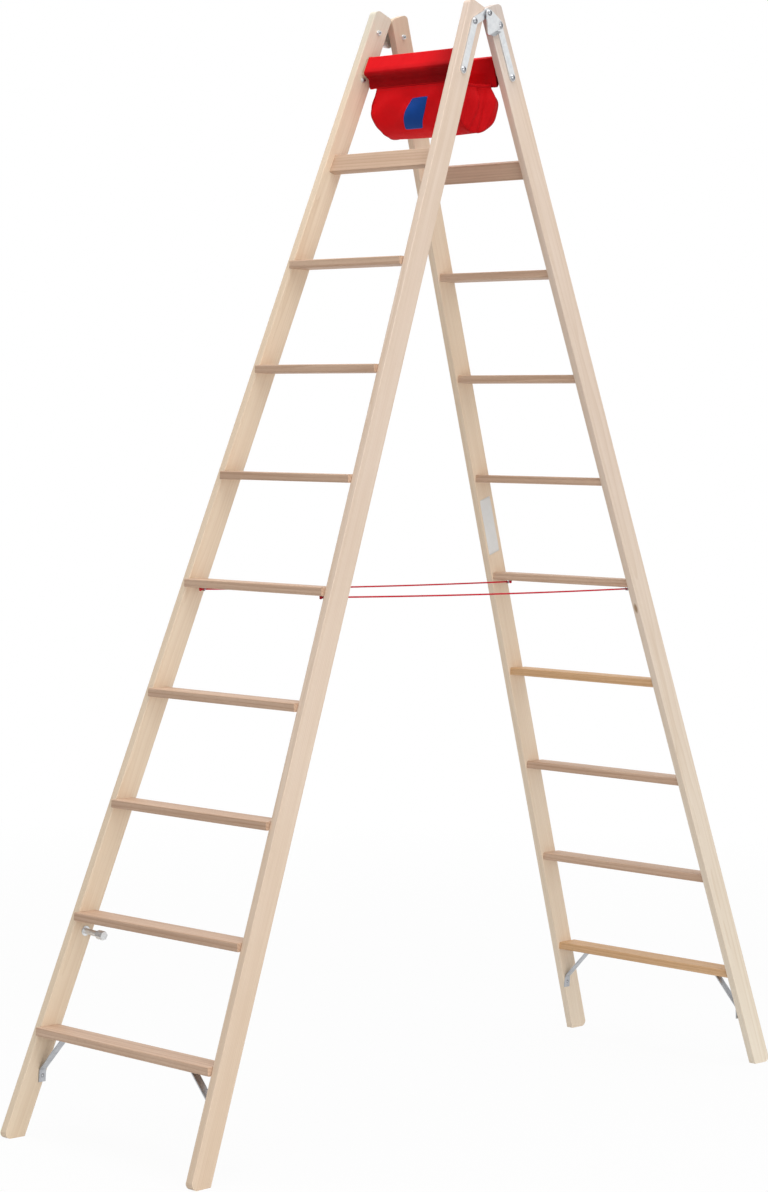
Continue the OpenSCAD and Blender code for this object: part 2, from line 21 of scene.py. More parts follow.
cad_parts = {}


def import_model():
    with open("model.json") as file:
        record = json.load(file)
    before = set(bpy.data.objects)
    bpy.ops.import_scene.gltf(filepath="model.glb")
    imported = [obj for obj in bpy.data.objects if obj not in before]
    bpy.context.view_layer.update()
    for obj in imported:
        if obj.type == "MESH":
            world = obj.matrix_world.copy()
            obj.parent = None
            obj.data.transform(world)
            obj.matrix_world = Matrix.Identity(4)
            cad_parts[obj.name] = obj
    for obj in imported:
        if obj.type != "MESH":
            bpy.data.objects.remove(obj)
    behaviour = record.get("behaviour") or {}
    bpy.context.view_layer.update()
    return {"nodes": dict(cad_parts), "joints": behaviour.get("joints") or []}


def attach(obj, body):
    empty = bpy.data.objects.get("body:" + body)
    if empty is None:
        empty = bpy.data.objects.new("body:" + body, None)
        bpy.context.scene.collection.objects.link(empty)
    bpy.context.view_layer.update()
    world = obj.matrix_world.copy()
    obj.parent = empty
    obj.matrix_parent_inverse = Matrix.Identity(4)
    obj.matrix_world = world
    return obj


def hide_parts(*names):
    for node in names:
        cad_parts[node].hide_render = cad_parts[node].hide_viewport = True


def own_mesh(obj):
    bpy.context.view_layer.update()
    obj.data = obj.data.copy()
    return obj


LOG = logging.getLogger("trestle_ladder")
FULL_TURN = 2.0 * math.pi
QUARTER_TURN = 0.5 * math.pi
WELD_REACH = 2e-6

Array = np.ndarray
Amount = np.ndarray | float
Triple = tuple[float, float, float]
Colour = Triple
Span = tuple[float, float]
Piece = bpy.types.Object
Material = bpy.types.Material
Node = bpy.types.Node
Socket = bpy.types.NodeSocket

WHITE: Colour = (1.0, 1.0, 1.0)
UPWARD: Triple = (0.0, 0.0, 1.0)
ALONG_RUNGS: Triple = (1.0, 0.0, 0.0)


class Section(Enum):
    """The two rung sections, by the sign of their side of the hinge axis."""

    FRONT = -1
    REAR = 1

    @property
    def body(self) -> str:
        """Name of the moving body that the section is."""
        return f"{self.word}_section"

    @property
    def word(self) -> str:
        """The section's word in the node names."""
        return self.name.lower()


class Side(Enum):
    """The two sides of the ladder, by the sign of X."""

    LEFT = -1
    RIGHT = 1

    @property
    def word(self) -> str:
        """The side's word in the node names."""
        return self.name.lower()


class Slot(Enum):
    """Names of three of the record's material slots; the new pieces build their own finishes."""

    STILE_WOOD = "stile_wood"
    RED_CLOTH = "red_cloth"
    RED_CORD = "red_cord"


@dataclass(frozen=True)
class Stance:
    """How the sections stand: their lean, the splay of their stiles and the hinge axis."""

    pivot_h: float
    lean: float = math.radians(20.1)
    splay: float = math.radians(3.17)
    half_top: float = 0.1713
    stile_t: float = 0.021
    mid_depth: float = 0.034

    def place(self, section: Section, x: Amount, drop: Amount, depth: Amount) -> Array:
        """Turns a place in a section into the ladder's frame.

        Out from the hinge axis is depth along the section's normal plus drop along its slope.

        Args:
            section: The section that the place is in.
            x: Distance along the rungs.
            drop: Distance down the slope from the hinge axis.
            depth: Distance out from the hinge axis, square to the section.

        Returns:
            Points with X, Y and Z in the last axis.
        """
        x, drop, depth = np.broadcast_arrays(x, drop, depth)
        out = depth * math.cos(self.lean) + drop * math.sin(self.lean)
        up = self.pivot_h - drop * math.cos(self.lean) + depth * math.sin(self.lean)
        return np.stack([x, section.value * out, up], axis=-1)

    def bay_half(self, drop: Amount) -> Amount:
        """Half the clear width between the stiles, at a drop."""
        return self.half_top + drop * math.tan(self.splay) - self.stile_t / math.cos(self.splay)

    def stile_turn(self, section: Section, side: Side) -> Matrix:
        """Turn that brings a stile's length onto Z and its depth onto Y.

        Args:
            section: The stile's section.
            side: The stile's side.

        Returns:
            A 3 x 3 matrix whose rows are the stile's thickness, depth and length.
        """
        axis = self.place(section, 0.0, 0.0, 0.0)
        length = unit(self.place(section, side.value * math.tan(self.splay), 1.0, 0.0) - axis)
        depth = self.place(section, 0.0, 0.0, 1.0) - axis
        return Matrix([np.cross(depth, length).tolist(), depth.tolist(), length.tolist()])


# Surfaces from arrays


def unit(vectors: Array) -> Array:
    """Scales the vectors in the last axis to a length of one."""
    return vectors / np.maximum(np.linalg.norm(vectors, axis=-1, keepdims=True), 1e-12)


def smooth_step(value: Amount, low: float, high: float) -> Amount:
    """Share of the way from low to high, eased at both ends."""
    share = np.clip((value - low) / (high - low), 0.0, 1.0)
    return share * share * (3.0 - 2.0 * share)


def run_along(points: Array) -> Array:
    """Distance along a line of points, from its first point to each of them."""
    return np.append(0.0, np.cumsum(np.linalg.norm(np.diff(points, axis=0), axis=1)))


def respaced(points: Array, count: int) -> Array:
    """Points at even distances along a line through the given points.

    Args:
        points: The line's corners in order.
        count: How many points to return.

    Returns:
        An array of count points, the line's ends among them.
    """
    run = run_along(points)
    at = np.linspace(0.0, run[-1], count)
    return np.stack([np.interp(at, run, part) for part in points.T], axis=1)


def pairs(across: Array, down: Array) -> Array:
    """Grid of each number of one run with each of another, as rows, columns and two numbers."""
    return np.stack(np.meshgrid(across, down), axis=-1)


def square_grid(half: float, count: int) -> Array:
    """Square grid of places from minus half to half, as rows, columns and two numbers."""
    return pairs(np.linspace(-half, half, count), np.linspace(-half, half, count))


def rounded_square(count: int, power: int, ease: Span) -> Array:
    """A square grid from -1 to 1 whose corners are drawn in.

    Each place is times the root of 1 less ease times its own square times a power of the other place.

    Args:
        count: Number of points along each side.
        power: How close to the corners the drawing in starts.
        ease: How far the places across and the places down are drawn in.

    Returns:
        The places across and the places down.
    """
    a, b = np.moveaxis(square_grid(1.0, count), -1, 0)
    return np.stack([a * np.sqrt(1.0 - ease[0] * b ** power * a ** 2),
                     b * np.sqrt(1.0 - ease[1] * a ** power * b ** 2)])


def grid_quads(rows: int, columns: int) -> Array:
    """Corner numbers of the quads of a grid whose points are stored row by row.

    Args:
        rows: Number of rows of points.
        columns: Number of points in a row.

    Returns:
        An array of four corner numbers for each quad.
    """
    corner = (np.arange(rows - 1)[:, None] * columns + np.arange(columns - 1)).ravel()
    return np.stack([corner, corner + 1, corner + columns + 1, corner + columns], axis=1)


def mesh_object(name: str, points: Array, quads: Array, uv: Array) -> Piece:
    """Makes an object at the origin, and welds points that lie on each other, which closes seams and poles.

    Args:
        name: Name of the new piece.
        points: Points in metres, in any array shape that ends in three.
        quads: Corner numbers of the faces.
        uv: UV places in metres along the surface, one for each point.

    Returns:
        The new object, smooth shaded.
    """
    mesh = bpy.data.meshes.new(name)
    mesh.from_pydata(points.reshape(-1, 3).tolist(), [], quads.tolist())
    corners = np.empty(len(mesh.loops), np.int32)
    mesh.loops.foreach_get("vertex_index", corners)
    places = uv.reshape(-1, 2)[corners].astype(np.float32)
    mesh.uv_layers.new(name="UVMap").data.foreach_set("uv", places.ravel())
    shell = bmesh.new()
    shell.from_mesh(mesh)
    bmesh.ops.remove_doubles(shell, verts=shell.verts, dist=WELD_REACH)
    shell.to_mesh(mesh)
    shell.free()
    mesh.polygons.foreach_set("use_smooth", np.ones(len(mesh.polygons), bool))
    piece = bpy.data.objects.new(name, mesh)
    bpy.context.scene.collection.objects.link(piece)
    LOG.info("%s: %d faces", name, len(mesh.polygons))
    return piece


def grid_object(name: str, points: Array, uv: Array, flip: bool = False) -> Piece:
    """Makes an object from a grid of points.

    Args:
        name: Name of the new piece.
        points: Points in metres, as rows, columns and three numbers.
        uv: UV places in metres, as rows, columns and two numbers.
        flip: Whether the faces turn the other way.

    Returns:
        The new object.
    """
    quads = grid_quads(points.shape[0], points.shape[1])
    return mesh_object(name, points, quads[:, ::-1] if flip else quads, uv)


def tube_grid(path: Array, radius: Amount, sides: int, normals: Array | Triple) -> tuple[Array, Array]:
    """Carries a circle along a path.

    Each ring is the path's point plus the radius times cosine along the normal and sine along the binormal.

    Args:
        path: The path's points.
        radius: The circle's radius, one or one for each point.
        sides: Number of sides of the circle.
        normals: A direction across the path, one or one for each point.

    Returns:
        The grid of points, with the first column repeated at the end, and their UV places.
    """
    along = unit(np.gradient(path, axis=0))
    across = unit(normals - along * np.sum(normals * along, axis=1, keepdims=True))
    third = np.cross(along, across)
    angle = np.linspace(0.0, FULL_TURN, sides + 1)
    size = np.broadcast_to(radius, len(path))[:, None, None]
    ring = np.cos(angle)[:, None] * across[:, None] + np.sin(angle)[:, None] * third[:, None]
    return path[:, None] + size * ring, pairs(angle * np.max(radius), run_along(path))


def loop_object(name: str, path: Array, radius: float, sides: int, normals: Array | Triple) -> Piece:
    """Makes a tube along a closed path, whose last ring becomes its first.

    Args:
        name: Name of the new piece.
        path: The path's points, with the first one repeated at the end.
        radius: The tube's radius.
        sides: Number of sides.
        normals: A direction across the path, one or one for each point.

    Returns:
        The new object.
    """
    points, uv = tube_grid(path, radius, sides, normals)
    points[-1] = points[0]
    return grid_object(name, points, uv)


def tube_object(name: str, path: Array, radius: float, sides: int, steps: int = 5) -> Piece:
    """Makes a tube with half-round ends along an open path that is never along X.

    Past each end the radius is a sine and the way out a cosine of one angle, so the ends close to a point.

    Args:
        name: Name of the new piece.
        path: The path's points.
        radius: The tube's radius.
        sides: Number of sides.
        steps: Number of points in each rounded end.

    Returns:
        The new object.
    """
    angle = np.linspace(0.0, QUARTER_TURN, steps + 1)[:-1]
    reach, size = radius * np.cos(angle)[:, None], radius * np.sin(angle)
    head = path[0] + reach * unit(path[0] - path[1])
    tail = path[-1] + reach[::-1] * unit(path[-1] - path[-2])
    radii = np.concatenate([size, np.full(len(path), radius), size[::-1]])
    return grid_object(name, *tube_grid(np.concatenate([head, path, tail]), radii, sides, ALONG_RUNGS))


def thicken(piece: Piece, thickness: float) -> None:
    """Gives a sheet its thickness, inwards from its outer face.

    Args:
        piece: The sheet.
        thickness: The cloth's or paper's thickness.
    """
    wall = piece.modifiers.new("thickness", "SOLIDIFY")
    wall.thickness = thickness
    wall.offset = -1.0


def dress(piece: Piece, finish: Material, section: Section) -> None:
    """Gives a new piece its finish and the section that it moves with.

    Args:
        piece: The new piece.
        finish: Its finish.
        section: The section whose body carries it.
    """
    piece.data.materials.append(finish)
    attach(piece, section.body)


# Shader nodes


class NodeSketch:
    """A short way to add and join the nodes of one tree."""

    def __init__(self, tree: bpy.types.NodeTree) -> None:
        """Keeps the tree that the nodes go into."""
        self.tree = tree

    def feed(self, node: Node, inputs: dict[str | int, object]) -> None:
        """Sets or joins a node's inputs, and gives each plain colour an alpha of 1.

        Args:
            node: The node.
            inputs: Values or sockets for its inputs, by name or number.
        """
        for key, value in inputs.items():
            if isinstance(value, Socket):
                self.tree.links.new(value, node.inputs[key])
            else:
                socket = node.inputs[key]
                socket.default_value = (*value, 1.0) if socket.type == "RGBA" else value

    def add(self, kind: str, inputs: dict[str | int, object] | None = None, **settings: object) -> Node:
        """Adds a shader node.

        Args:
            kind: The node's type name, without its first words.
            inputs: Values or sockets for its inputs, by name or number.
            **settings: The node's own choices.

        Returns:
            The new node.
        """
        node = self.tree.nodes.new(f"ShaderNode{kind}")
        for key, value in settings.items():
            setattr(node, key, value)
        self.feed(node, inputs or {})
        return node

    def math(self, operation: str, first: object, second: object = 0.0, third: object = 0.0,
             clamp: bool = False) -> Socket:
        """Result of a sum, product or other operation on values."""
        inputs = {0: first, 1: second, 2: third}
        return self.add("Math", inputs, operation=operation, use_clamp=clamp).outputs[0]

    def weighted(self, *terms: tuple[object, float], clamp: bool = False) -> Socket:
        """Sum of values, each times its weight.

        Args:
            *terms: Each value with its weight.
            clamp: Whether the sum is kept between 0 and 1.

        Returns:
            The sum.
        """
        total = 0.0
        for number, (value, weight) in enumerate(terms, 1):
            total = self.math("MULTIPLY_ADD", value, weight, total, clamp and number == len(terms))
        return total

    def vector(self, operation: str, first: object, second: object) -> Socket:
        """Result of an operation on two vectors."""
        return self.add("VectorMath", {0: first, 1: second}, operation=operation).outputs[0]

    def stretch(self, vector: object, factors: Triple) -> Socket:
        """The vector with each part multiplied by its own factor."""
        return self.vector("MULTIPLY", vector, factors)

    def length(self, vector: object) -> Socket:
        """Length of a vector."""
        return self.add("VectorMath", {0: vector}, operation="LENGTH").outputs["Value"]

    def parts(self, vector: object) -> list[Socket]:
        """The X, Y and Z of a vector."""
        return list(self.add("SeparateXYZ", {0: vector}).outputs)

    def blend(self, factor: object, first: object, second: object, mode: str = "MIX") -> Socket:
        """Colour that goes from first to second, or to their product, with the factor."""
        inputs = {0: factor, 6: first, 7: second}
        return self.add("Mix", inputs, data_type="RGBA", blend_type=mode).outputs[2]

    def noise(self, vector: object, scale: object, detail: float = 2.0, roughness: float = 0.5) -> Node:
        """A soft noise pattern at so many cells a metre."""
        inputs = {"Vector": vector, "Scale": scale, "Detail": detail, "Roughness": roughness}
        return self.add("TexNoise", inputs)

    def streaks(self, vector: object, cells: Triple, detail: float = 2.0, roughness: float = 0.5) -> Socket:
        """A noise with its own number of cells a metre in each direction."""
        return self.noise(self.stretch(vector, cells), 1.0, detail, roughness).outputs["Fac"]

    def ramp(self, value: object, low: float, high: float, to_low: float = 0.0,
             to_high: float = 1.0) -> Socket:
        """The value carried from one range to another and kept inside it."""
        return self.add("MapRange", {0: value, 1: low, 2: high, 3: to_low, 4: to_high}).outputs[0]

    def bump(self, height: object, strength: float, distance: float) -> Socket:
        """Normal that leans with a height."""
        return self.add("Bump", {"Height": height, "Strength": strength, "Distance": distance}).outputs[0]

    def seen_rays(self) -> Socket:
        """Tells what is seen from what lights the set.

        Returns:
            1 for rays from the camera, from gloss and through glass, and 0 for rays that carry light.
        """
        path = self.add("LightPath").outputs
        seen = self.math("MAXIMUM", path["Is Camera Ray"], path["Is Glossy Ray"])
        return self.math("MAXIMUM", seen, path["Is Transmission Ray"])

    def where_seen(self, factor: Socket, light: Node, seen: Node, output: str) -> None:
        """Ends the tree with a shader for light and another that shows with the factor.

        Args:
            factor: How much of the seen shader shows.
            light: The shader that lights the set.
            seen: The shader that the camera sees.
            output: Type name of the tree's last node.
        """
        mixed = self.add("MixShader", {0: factor, 1: light.outputs[0], 2: seen.outputs[0]})
        self.add(output, {"Surface": mixed.outputs[0]})


@dataclass(frozen=True)
class GroupPlan:
    """Names, kinds and first values of a node group's sockets."""

    name: str
    inputs: tuple[tuple[str, str, object], ...]
    outputs: tuple[tuple[str, str], ...]

    def start(self) -> tuple[NodeSketch, Node, Node]:
        """Makes the empty group.

        Returns:
            A sketch of its tree, its input node and its output node.
        """
        tree = bpy.data.node_groups.new(self.name, "ShaderNodeTree")
        for label, kind, value in self.inputs:
            socket = tree.interface.new_socket(label, in_out="INPUT", socket_type=f"NodeSocket{kind}")
            socket.default_value = (*value, 1.0) if kind == "Color" else value
        for label, kind in self.outputs:
            tree.interface.new_socket(label, in_out="OUTPUT", socket_type=f"NodeSocket{kind}")
        return NodeSketch(tree), tree.nodes.new("NodeGroupInput"), tree.nodes.new("NodeGroupOutput")


class SharedPatterns:
    """Node groups that more than one finish uses, each built once."""

    def __init__(self) -> None:
        """Builds the groups."""
        self.grain = self._grain()
        self.handling = self._handling()
        self.weave = self._weave()

    def marks(self, s: NodeSketch, place: Socket, scale: float) -> Socket:
        """Mask of the handling marks, at so many clouds a metre."""
        return s.add("Group", {"Vector": place, "Scale": scale}, node_tree=self.handling).outputs["Mask"]

    def _grain(self) -> bpy.types.NodeTree:
        """Planed timber with its length along Z.

        Growth rings are a saw-tooth of the distance from the pith, which noise bends. Broad streaks and fine
        fibres are noise drawn out along the length.

        Returns:
            The group, which puts out a colour, a roughness and a height.
        """
        plan = GroupPlan(
            "planed_grain",
            (("Vector", "Vector", (0.0, 0.0, 0.0)), ("Pale", "Color", (0.8, 0.7, 0.6)),
             ("Late", "Color", (0.6, 0.45, 0.3)), ("Pith", "Vector", (0.06, 0.03, 0.0)),
             ("Ring Width", "Float", 0.004), ("Contrast", "Float", 1.0)),
            (("Color", "Color"), ("Roughness", "Float"), ("Height", "Float")))
        bend_cells, bend_reach, bend_middle = (10.0, 10.0, 0.8), (0.03, 0.03, 0.0), (0.5, 0.5, 0.5)
        broad_cells, fibre_cells = (46.0, 46.0, 0.9), (620.0, 620.0, 8.0)
        taper = (1.0, 1.0, 0.012)
        ring_edge, base_tone = 2.6, 0.3
        s, given, out = plan.start()
        place, pale, late_tone, pith, ring_width, contrast = list(given.outputs)[:len(plan.inputs)]
        bend = s.noise(s.stretch(place, bend_cells), 1.0, 3.0).outputs["Color"]
        bent = s.vector("ADD", place, s.stretch(s.vector("SUBTRACT", bend, bend_middle), bend_reach))
        distance = s.length(s.stretch(s.vector("SUBTRACT", bent, pith), taper))
        late = s.math("POWER", s.math("FRACT", s.math("DIVIDE", distance, ring_width)), ring_edge)
        broad = s.streaks(bent, broad_cells, 3.0, 0.6)
        fibre = s.streaks(place, fibre_cells, 2.0, 0.6)
        broad_swing, fibre_swing = (s.math("SUBTRACT", noise, 0.5) for noise in (broad, fibre))
        tone = s.weighted((late, 0.34), (broad_swing, 1.15), (fibre_swing, 0.55))
        tone = s.math("MULTIPLY_ADD", tone, contrast, base_tone, clamp=True)
        height = s.weighted((fibre, 0.7), (late, -0.3))
        rough = s.ramp(fibre, 0.3, 0.7, 0.46, 0.62)
        s.feed(out, {"Color": s.blend(tone, pale, late_tone), "Roughness": rough, "Height": height})
        return s.tree

    def _handling(self) -> bpy.types.NodeTree:
        """Marks of handling and dust: soft clouds broken up by finer ones.

        Returns:
            The group, which puts out a mask from 0 to 1.
        """
        plan = GroupPlan("handling_marks", (("Vector", "Vector", (0.0, 0.0, 0.0)), ("Scale", "Float", 8.0)),
                         (("Mask", "Float"),))
        s, given, out = plan.start()
        cloud = s.noise(given.outputs["Vector"], given.outputs["Scale"], 5.0, 0.62).outputs["Fac"]
        s.feed(out, {"Mask": s.ramp(cloud, 0.36, 0.7)})
        return s.tree

    def _weave(self) -> bpy.types.NodeTree:
        """Plain weave or braid on a UV map in metres.

        Across each thread the height is the sine of the place over the pitch, and threads of the two
        directions lie on top by turns, as the squares of a chessboard do.

        Returns:
            The group, which puts out a height and a mask of the upper direction.
        """
        plan = GroupPlan("plain_weave", (("Vector", "Vector", (0.0, 0.0, 0.0)), ("Pitch", "Float", 0.0006)),
                         (("Height", "Float"), ("Mask", "Float")))
        s, given, out = plan.start()
        waves = []
        for part in s.parts(given.outputs["Vector"])[:2]:
            threads = s.math("DIVIDE", part, given.outputs["Pitch"])
            waves.append(s.math("SINE", s.math("MULTIPLY", threads, math.pi)))
        upper = s.math("GREATER_THAN", s.math("MULTIPLY", *waves), 0.0)
        crown = [s.math("ABSOLUTE", wave) for wave in waves]
        height = s.math("MULTIPLY_ADD", s.math("SUBTRACT", *crown), upper, crown[1])
        s.feed(out, {"Height": height, "Mask": upper})
        return s.tree


def new_material(name: str) -> tuple[Material, NodeSketch, Node]:
    """Makes a material with one Principled shader.

    Args:
        name: Name of the material.

    Returns:
        The material, a sketch of its tree and its shader node.
    """
    material = bpy.data.materials.new(name)
    material.use_nodes = True
    return material, NodeSketch(material.node_tree), material.node_tree.nodes["Principled BSDF"]


class Finish(ABC):
    """A finish of one Principled shader."""

    name: str

    @abstractmethod
    def paint(self, s: NodeSketch, patterns: SharedPatterns) -> dict[str, object]:
        """Works out the shader's inputs.

        Args:
            s: The sketch of the material's tree.
            patterns: The shared node groups.

        Returns:
            The shader's inputs, by name.
        """

    def build(self, patterns: SharedPatterns) -> Material:
        """Makes the material.

        Args:
            patterns: The shared node groups.

        Returns:
            The material.
        """
        material, s, shader = new_material(self.name)
        s.feed(shader, self.paint(s, patterns))
        return material


@dataclass(frozen=True)
class Timber(Finish):
    """Planed timber of one piece or of a set of pieces that lie the same way.

    Its colour is tinted by degrees towards its foot and its head: partly its tone, partly painted light and
    shade.
    """

    name: str
    pale: Colour
    late: Colour
    turn: Matrix
    centre: Triple = (0.0, 0.0, 0.0)
    pith: Triple = (0.07, 0.035, 0.0)
    ring_width: float = 0.0042
    contrast: float = 1.0
    flecks: float = 0.0
    fleck_cells: Triple = (520.0, 520.0, 70.0)
    fleck_edge: Span = (0.58, 0.66)
    fleck_depth: float = 0.4
    gloss: float = 0.16
    bump: float = 0.35
    bump_depth: float = 0.0004
    foot: Colour = WHITE
    foot_reach: Span = (1.2, 2.8)
    head: Colour = WHITE
    head_reach: Span = (0.25, 0.0)
    mark_scale: float = 2.3
    mark_share: float = 0.35
    mark_tint: Colour = (0.9, 0.86, 0.8)
    knots: tuple[Triple, ...] = ()
    knot_draw: Triple = (1.0, 1.0, 0.42)
    knot_reach: Span = (0.0068, 0.0034)
    knot_tone: Colour = (0.40, 0.27, 0.17)

    def paint(self, s: NodeSketch, patterns: SharedPatterns) -> dict[str, object]:
        """Grain along the piece with handling marks, tints, flecks and egg-shaped knots.

        Args:
            s: The sketch of the material's tree.
            patterns: The shared node groups.

        Returns:
            The shader's inputs, by name.
        """
        place = s.add("TexCoord").outputs["Object"]
        shift = tuple(-(self.turn @ Vector(self.centre)))
        turned = {"Vector": place, "Rotation": self.turn.to_euler("XYZ"), "Location": shift}
        along = s.add("Mapping", turned).outputs[0]
        grain = s.add("Group", {"Vector": along, "Pale": self.pale, "Late": self.late, "Pith": self.pith,
                                "Ring Width": self.ring_width, "Contrast": self.contrast},
                      node_tree=patterns.grain).outputs
        colour, height = grain["Color"], grain["Height"]
        marks = s.math("MULTIPLY", patterns.marks(s, place, self.mark_scale), self.mark_share)
        far = s.parts(along)[2]
        # The foot and head tints are partly the wood's tone and partly painted light and shade along the
        # piece.
        for factor, tint in ((marks, self.mark_tint), (s.ramp(far, *self.foot_reach), self.foot),
                             (s.ramp(far, *self.head_reach), self.head)):
            colour = s.blend(factor, colour, tint, "MULTIPLY")
        if self.flecks:
            fleck = s.ramp(s.streaks(along, self.fleck_cells, 1.0), *self.fleck_edge)
            colour = s.blend(s.math("MULTIPLY", fleck, self.flecks), colour, self.late)
            height = s.weighted((height, 1.0), (fleck, -self.fleck_depth))
        for knot in self.knots:
            away = s.length(s.stretch(s.vector("SUBTRACT", along, knot), self.knot_draw))
            colour = s.blend(s.ramp(away, *self.knot_reach), colour, self.knot_tone)
        return {"Base Color": colour, "Roughness": grain["Roughness"], "Specular IOR Level": self.gloss,
                "Normal": s.bump(height, self.bump, self.bump_depth)}


@dataclass(frozen=True)
class ZincSteel(Finish):
    """Zinc-plated steel with fine drawing lines and a faint mottle."""

    name: str
    base: Colour = (0.80, 0.815, 0.825)
    dull: Colour = (0.62, 0.64, 0.66)
    rough: Span = (0.27, 0.46)
    metal: float = 1.0
    lines: Triple = (900.0, 900.0, 40.0)
    spangle_scale: float = 160.0
    mark_scale: float = 45.0
    bump: float = 0.12
    bump_depth: float = 0.0003

    def paint(self, s: NodeSketch, patterns: SharedPatterns) -> dict[str, object]:
        """Cells of the plating and handling marks make it dull, and the marks and lines make it rough.

        Args:
            s: The sketch of the material's tree.
            patterns: The shared node groups.

        Returns:
            The shader's inputs, by name.
        """
        place = s.add("TexCoord").outputs["Object"]
        cells = s.add("TexVoronoi", {"Vector": place, "Scale": self.spangle_scale}).outputs["Color"]
        mottle = s.add("SeparateColor", {0: cells}).outputs[0]
        marks = patterns.marks(s, place, self.mark_scale)
        lines = s.streaks(place, self.lines)
        tone = s.weighted((mottle, 0.3), (marks, 0.6), clamp=True)
        rough = s.ramp(s.weighted((marks, 0.6), (lines, 0.4)), 0.1, 0.8, *self.rough)
        normal = s.bump(s.weighted((lines, 1.0), (mottle, 0.5)), self.bump, self.bump_depth)
        return {"Base Color": s.blend(tone, self.base, self.dull), "Roughness": rough, "Normal": normal,
                "Metallic": self.metal}


@dataclass(frozen=True)
class WovenCloth(Finish):
    """Woven cloth, webbing or braid on a UV map in metres.

    Painted shade darkens it past a place across it, in a sleeve's fold, and past a place along X.
    """

    name: str
    base: Colour
    deep: Colour
    pitch: float
    turn: float = 0.0
    rough: float = 0.62
    sheen: float = 0.25
    gloss: float = 0.06
    bump: float = 0.35
    shade: float = 0.22
    painted_fold_shade: Span | None = None
    painted_fold_depth: float = 0.75
    shaded: Span | None = None
    shade_depth: float = 0.5
    mark_scale: float = 14.0
    slub_cells: Triple = (400.0, 2500.0, 1.0)

    def paint(self, s: NodeSketch, patterns: SharedPatterns) -> dict[str, object]:
        """The weave's low places, slubs, handling marks and painted shade in a fold and along X make it
        dark.

        Args:
            s: The sketch of the material's tree.
            patterns: The shared node groups.

        Returns:
            The shader's inputs, by name.
        """
        given = s.add("TexCoord").outputs
        along = s.add("Mapping", {"Vector": given["UV"], "Rotation": (0.0, 0.0, self.turn)}).outputs[0]
        weave = s.add("Group", {"Vector": along, "Pitch": self.pitch}, node_tree=patterns.weave).outputs
        marks = patterns.marks(s, given["Object"], self.mark_scale)
        slub = s.streaks(along, self.slub_cells)
        low = s.math("SUBTRACT", 1.0, weave["Height"])
        dark = s.weighted((low, self.shade), (weave["Mask"], 0.25 * self.shade), (marks, 0.12),
                          (slub, 0.12), clamp=True)
        # Painted shade: darker across a sleeve's lower run under the rail, and darker towards the pouch's
        # right end along X.
        for run, reach, depth in ((given["UV"], self.painted_fold_shade, self.painted_fold_depth),
                                  (given["Object"], self.shaded, self.shade_depth)):
            if reach:
                dark = s.math("ADD", dark, s.ramp(s.parts(run)[0], *reach, 0.0, depth), clamp=True)
        rough = s.ramp(marks, 0.0, 1.0, self.rough - 0.07, self.rough + 0.07)
        normal = s.bump(weave["Height"], self.bump, 0.4 * self.pitch)
        tint = tuple(min(1.0, 0.12 + 0.88 * part) for part in self.base)
        return {"Base Color": s.blend(dark, self.base, self.deep), "Roughness": rough, "Normal": normal,
                "Sheen Weight": self.sheen, "Sheen Roughness": 0.45, "Sheen Tint": tint,
                "Specular IOR Level": self.gloss}


@dataclass(frozen=True)
class CoatedPaper(Finish):
    """Smooth white paper with a faint fibre."""

    name: str
    base: Colour = (0.82, 0.82, 0.81)
    grey: Colour = (0.74, 0.74, 0.72)
    gloss: float = 0.45
    rough: Span = (0.30, 0.42)
    mark_scale: float = 60.0
    fibre_scale: float = 2600.0
    bump: float = 0.08
    bump_depth: float = 0.0002

    def paint(self, s: NodeSketch, patterns: SharedPatterns) -> dict[str, object]:
        """Handling marks and fibres make it grey.

        Args:
            s: The sketch of the material's tree.
            patterns: The shared node groups.

        Returns:
            The shader's inputs, by name.
        """
        place = s.add("TexCoord").outputs["Object"]
        fibre = s.noise(place, self.fibre_scale, 3.0).outputs["Fac"]
        tone = s.weighted((patterns.marks(s, place, self.mark_scale), 0.4), (fibre, 0.3), clamp=True)
        return {"Base Color": s.blend(tone, self.base, self.grey), "Specular IOR Level": self.gloss,
                "Roughness": s.ramp(fibre, 0.3, 0.7, *self.rough),
                "Normal": s.bump(fibre, self.bump, self.bump_depth)}


# The studio


@dataclass(frozen=True)
class PhotoCamera:
    """The camera that took the photograph, fitted to the ladder's edges."""

    place: Triple = (4.9763, -5.3517, 1.6103)
    yaw: float = math.radians(43.768)
    pitch: float = math.radians(-0.560)
    roll: float = math.radians(1.2075)
    lens: float = 87.598
    sensor: float = 36.0
    shift: Span = (0.00165, -0.0919)
    far: float = 200.0

    def build(self) -> None:
        """Makes the camera and chooses it for the scene."""
        level = math.cos(self.pitch)
        forward = np.array([-math.sin(self.yaw) * level, math.cos(self.yaw) * level, math.sin(self.pitch)])
        right = np.array([math.cos(self.yaw), math.sin(self.yaw), 0.0])
        up = np.cross(right, forward)
        across = right * math.cos(self.roll) + up * math.sin(self.roll)
        upright = up * math.cos(self.roll) - right * math.sin(self.roll)
        turn = Matrix(np.stack([across, upright, -forward], axis=1).tolist()).to_4x4()
        data = bpy.data.cameras.new("photo_camera")
        data.lens, data.sensor_width, data.sensor_fit = self.lens, self.sensor, "AUTO"
        data.shift_x, data.shift_y = self.shift
        data.clip_end = self.far
        camera = bpy.data.objects.new("photo_camera", data)
        camera.matrix_world = Matrix.Translation(self.place) @ turn
        bpy.context.scene.collection.objects.link(camera)
        bpy.context.scene.camera = camera


